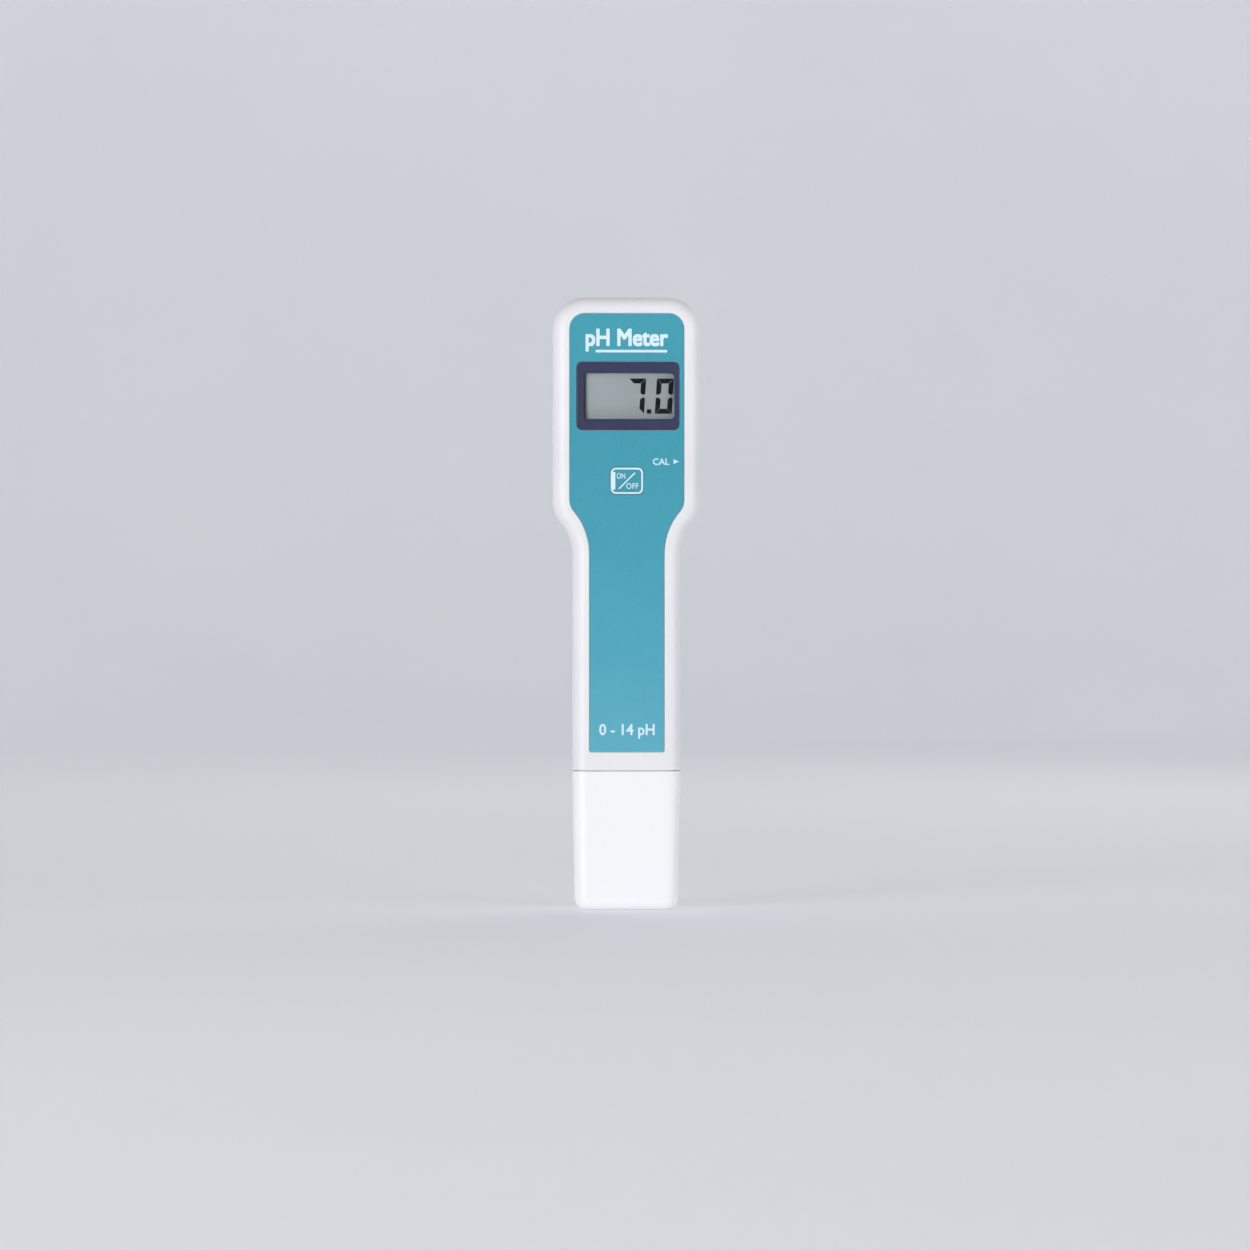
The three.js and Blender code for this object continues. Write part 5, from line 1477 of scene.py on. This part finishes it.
def makeSign(name, side, bars, back):
    plan, ink = batteryPlan, labelPlan["inkDepth"]
    long, wide = plan["signSize"] / 2, plan["signStroke"] / 2
    x, z = side * plan["signX"], plan["signHeight"]
    sign = boxBlock(name, (x - long, x + long), (back - 0.25 * ink, back + ink), (z - wide, z + wide))
    if bars == 2:
        weld(sign, boxBlock("upright", (x - wide, x + wide), (back - 0.25 * ink, back + ink), (z - long, z + long)))
    finishPiece(sign, "housing", "battery_jacket", printInk, weighted=False)


def makeTerminals():
    low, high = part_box("battery_top_plate")
    plate = roundedPlate("batteryTopPlate", "top", low.z, high.z - low.z, high.x - low.x, high.y - low.y,
                         batteryPlan["plateCorner"], 8, (0, (low.y + high.y) / 2))
    roundEdges(plate, levelTest("z", high.z), batteryPlan["plateSoftening"], 2)
    finishPiece(plate, "housing", "battery_insulator", batteryInsulator, "battery_top_plate")
    makeSnapStud("batteryStud", "battery_stud", False)
    makeSnapStud("clipStud", "clip_stud", True)
    makeSnapSocket("batterySocket", "battery_socket", 6, 3.05 * mm, False)
    makeSnapSocket("clipSocket", "clip_socket", 8, 3.1 * mm, True)


def makeSnapStud(name, node, hanging):
    # a round snap stud: a flange, a neck and a rolled head with a dimple
    low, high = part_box(node)
    radius, tall = (high.x - low.x) / 2, high.z - low.z
    middle = ((low.x + high.x) / 2, (low.y + high.y) / 2)
    profile = [(0, tall - 0.35 * mm), (radius * 0.5, tall - 0.35 * mm), (radius * 0.62, tall)]
    profile += arcPoints((radius - 0.55 * mm, tall - 0.55 * mm), 0.55 * mm, 90, -50, 8)
    profile += [(radius - 0.45 * mm, tall * 0.35), (radius - 0.4 * mm, 0.3 * mm), (radius, 0.25 * mm), (radius, 0),
                (0, 0)]
    stud = lathe(name, "z", profile, 40)
    placeUpright(stud, middle, low.z, high.z, hanging)
    finishPiece(stud, "housing", "nickel_plate", nickelPlate, node, angle=40)


def placeUpright(piece, middle, bottom, top, hanging):
    workOn(piece, "EDIT")
    bpy.ops.mesh.select_all(action="SELECT")
    if hanging:
        bpy.ops.transform.rotate(value=math.pi, orient_axis="X", center_override=(0, 0, 0))
        bpy.ops.transform.translate(value=(*middle, top))
    else:
        bpy.ops.transform.translate(value=(*middle, bottom))
    finishEdit()


def makeSnapSocket(name, node, petals, bore, hanging):
    # a spring socket: a ring of leaves parted by slits round the bore
    low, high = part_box(node)
    radius, tall = (high.y - low.y) / 2, high.z - low.z
    middle = ((low.x + high.x) / 2, (low.y + high.y) / 2)
    outer = min(radius, (high.x - low.x) / 2)
    wall = outer - bore
    lip = min(0.5 * mm, 0.45 * wall)
    profile = [(bore, 0), (outer, 0), (outer, tall - lip)]
    profile += arcPoints((outer - lip, tall - lip), lip, 0, 90, 6)
    profile += [(bore + 0.25 * wall, tall), (bore, tall - 0.3 * mm), (bore, 0)]
    socket = lathe(name, "z", profile, 48)
    slit = 0.25 * mm
    for number in range(petals // 2):
        cutter = boxBlock("slit", (-10 * mm, 10 * mm), (-slit / 2, slit / 2), (0.6 * mm, tall + 1 * mm))
        workOn(cutter, "EDIT")
        bpy.ops.mesh.select_all(action="SELECT")
        bpy.ops.transform.rotate(value=2 * math.pi * number / petals, orient_axis="Z", center_override=(0, 0, 0))
        finishEdit()
        carve(socket, cutter)
    placeUpright(socket, middle, low.z, high.z, hanging)
    finishPiece(socket, "housing", "nickel_plate", nickelPlate, node, angle=40)


clipPlan = {"corner": 5.6 * mm, "topEdge": 0.6 * mm, "bottomEdge": 0.2 * mm}


def makeClipCover():
    plan = clipPlan
    low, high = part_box("clip_cover")
    cover = roundedPlate("clipCover", "top", low.z, high.z - low.z, high.x - low.x, high.y - low.y,
                         plan["corner"], 10, (0, (low.y + high.y) / 2))
    roundEdges(cover, levelTest("z", high.z), plan["topEdge"], 4)
    roundEdges(cover, levelTest("z", low.z), plan["bottomEdge"], 2)
    return finishPiece(cover, "housing", "black_plastic", blackPlastic, "clip_cover", angle=45)


# ---------- floor and lights ----------

stagePlan = {"radius": 2.1, "bendRadius": 0.8, "height": 2.6, "steps": 96,
             "paper": srgb(236, 238, 241), "paperDeep": srgb(231, 233, 237), "glow": 0.22}
lightPlan = {
    "key": {"place": (-1.0, -1.2, 0.12), "size": 0.5, "power": 11.7, "colour": (1.0, 0.99, 0.975)},
    "fill": {"place": (1.1, -1.15, 0.08), "size": 0.9, "power": 8.4, "colour": (1.0, 0.985, 0.975)},
    "rim": {"place": (0.4, 1.0, 0.9), "size": 0.8, "power": 1.5, "colour": (1.0, 1.0, 1.0)},
    "ambient": (0.8, 0.8, 0.81, 1), "ambientStrength": 0.3,
}


def makeStage():
    # a round floor that curves up into a wall on every side
    plan = stagePlan
    reach, bend = plan["radius"], plan["bendRadius"]
    floor = drawPath("studioFloor", "front", 0, (0, 0), [("line", (reach, 0)), ("arc", (reach, bend), 90, 16),
                                                         ("line", (reach + bend, plan["height"]))], fill=False)
    workOn(floor, "EDIT")
    bpy.ops.mesh.select_all(action="SELECT")
    bpy.ops.mesh.spin(steps=plan["steps"], angle=2 * math.pi, center=(0, 0, 0), axis=(0, 0, 1))
    bpy.ops.mesh.select_all(action="SELECT")
    bpy.ops.mesh.remove_doubles(threshold=0.01 * mm)
    bpy.ops.mesh.normals_make_consistent(inside=True)
    finishEdit()
    bpy.ops.object.shade_smooth()
    material, tree, shader, where = startMaterial("backdropPaper")
    mottle = placeGroup(tree, mottleGroup, {"Vector": where, "Drift Scale": 3.0, "Grain Scale": 700.0})
    tree.links.new(blendColour(tree, mottle["Drift"], plan["paper"], plan["paperDeep"]), shader.inputs["Base Color"])
    tree.links.new(remap(tree, mottle["Grain"], 0.3, 0.7, 0.85, 0.95), shader.inputs["Roughness"])
    shader.inputs["Emission Color"].default_value = plan["paper"]
    shader.inputs["Emission Strength"].default_value = plan["glow"]
    floor.data.materials.append(material)


def placeLights():
    aim = Vector((0, 0, cameraPlan["eyeHeight"]))
    for name in ("key", "fill", "rim"):
        lamp = lightPlan[name]
        toward = aim - Vector(lamp["place"])
        bpy.ops.object.light_add(type="AREA", location=lamp["place"],
                                 rotation=toward.to_track_quat("-Z", "Y").to_euler())
        light = bpy.context.object
        light.name = name + "Light"
        light.data.size = lamp["size"]
        light.data.energy = lamp["power"]
        light.data.color = lamp["colour"]
    world = bpy.data.worlds.new("studio")
    world.use_nodes = True
    world.node_tree.nodes["Background"].inputs["Color"].default_value = lightPlan["ambient"]
    world.node_tree.nodes["Background"].inputs["Strength"].default_value = lightPlan["ambientStrength"]
    bpy.context.scene.world = world
    bpy.context.scene.view_settings.view_transform = "Standard"


# ---------- making ----------

makeStage()
placeLights()
print("floor and lights placed")
makeFrontShell()
makeRearShell()
print("housing made")
makeBatteryDoor()
makeDoorPad()
print("battery door made")
makeCap()
print("cap made")
makeLabel()
printLabel()
print("label made and printed")
makeBezel()
makeLens()
makeDisplayCell()
print("display made")
makeKey()
printKey()
print("key made")
makeScrews("case")
makeScrews("board")
makeTrimmerRotor()
print("screws and trimmer made")
makeCollar()
makeSeal()
makeProbeBody()
makeBulb()
makeGuard()
print("probe made")
makeBattery()
makeTerminals()
makeClipCover()
print("battery and clip made")

slotFinish = {
    "housing_plastic": housingPlastic, "cap_plastic": capPlastic, "label_film": labelFilm, "key_plastic": keyPlastic,
    "bezel_plastic": bezelPlastic, "clear_window": clearWindow, "display_glass": rearGlass,
    "reflector_film": reflectorFilm, "grey_plastic": greyPlastic, "contact_rubber": contactRubber,
    "circuit_laminate": laminate, "black_plastic": blackPlastic, "switch_metal": steelPlate,
    "trimmer_plastic": trimmerPlastic, "brass": brassMetal, "capacitor_resin": capacitorResin,
    "resistor_lacquer": lacquer, "battery_jacket": jacketPrint, "battery_insulator": batteryInsulator,
    "nickel_plate": nickelPlate, "red_insulation": redInsulation, "black_insulation": blackInsulation,
    "grey_insulation": greyInsulation, "seal_rubber": sealRubberAndPaintedShadow, "probe_epoxy": probeEpoxy,
    "guard_plastic": guardPlastic, "bulb_glass": bulbGlass, "silver_wire": silverWire,
    "junction_ceramic": junctionCeramic, "foam": foamMaterial, "screw_steel": screwSteel,
}


def finishCarriedOver():
    # the CAD nodes that stay as they are take the finish of their slot in the record
    kept = 0
    for subpart in frame["record"]["subparts"]:
        name = subpart["node"] if "node" in subpart else subpart["name"]
        if name in frame["nodes"] and not frame["nodes"][name].hide_render:
            for holder in frame["nodes"][name].material_slots:
                holder.material = slotFinish[subpart["material_slot"]]
            kept += 1
    print("CAD nodes kept with a finish:", kept)


finishCarriedOver()

bpy.context.view_layer.update()
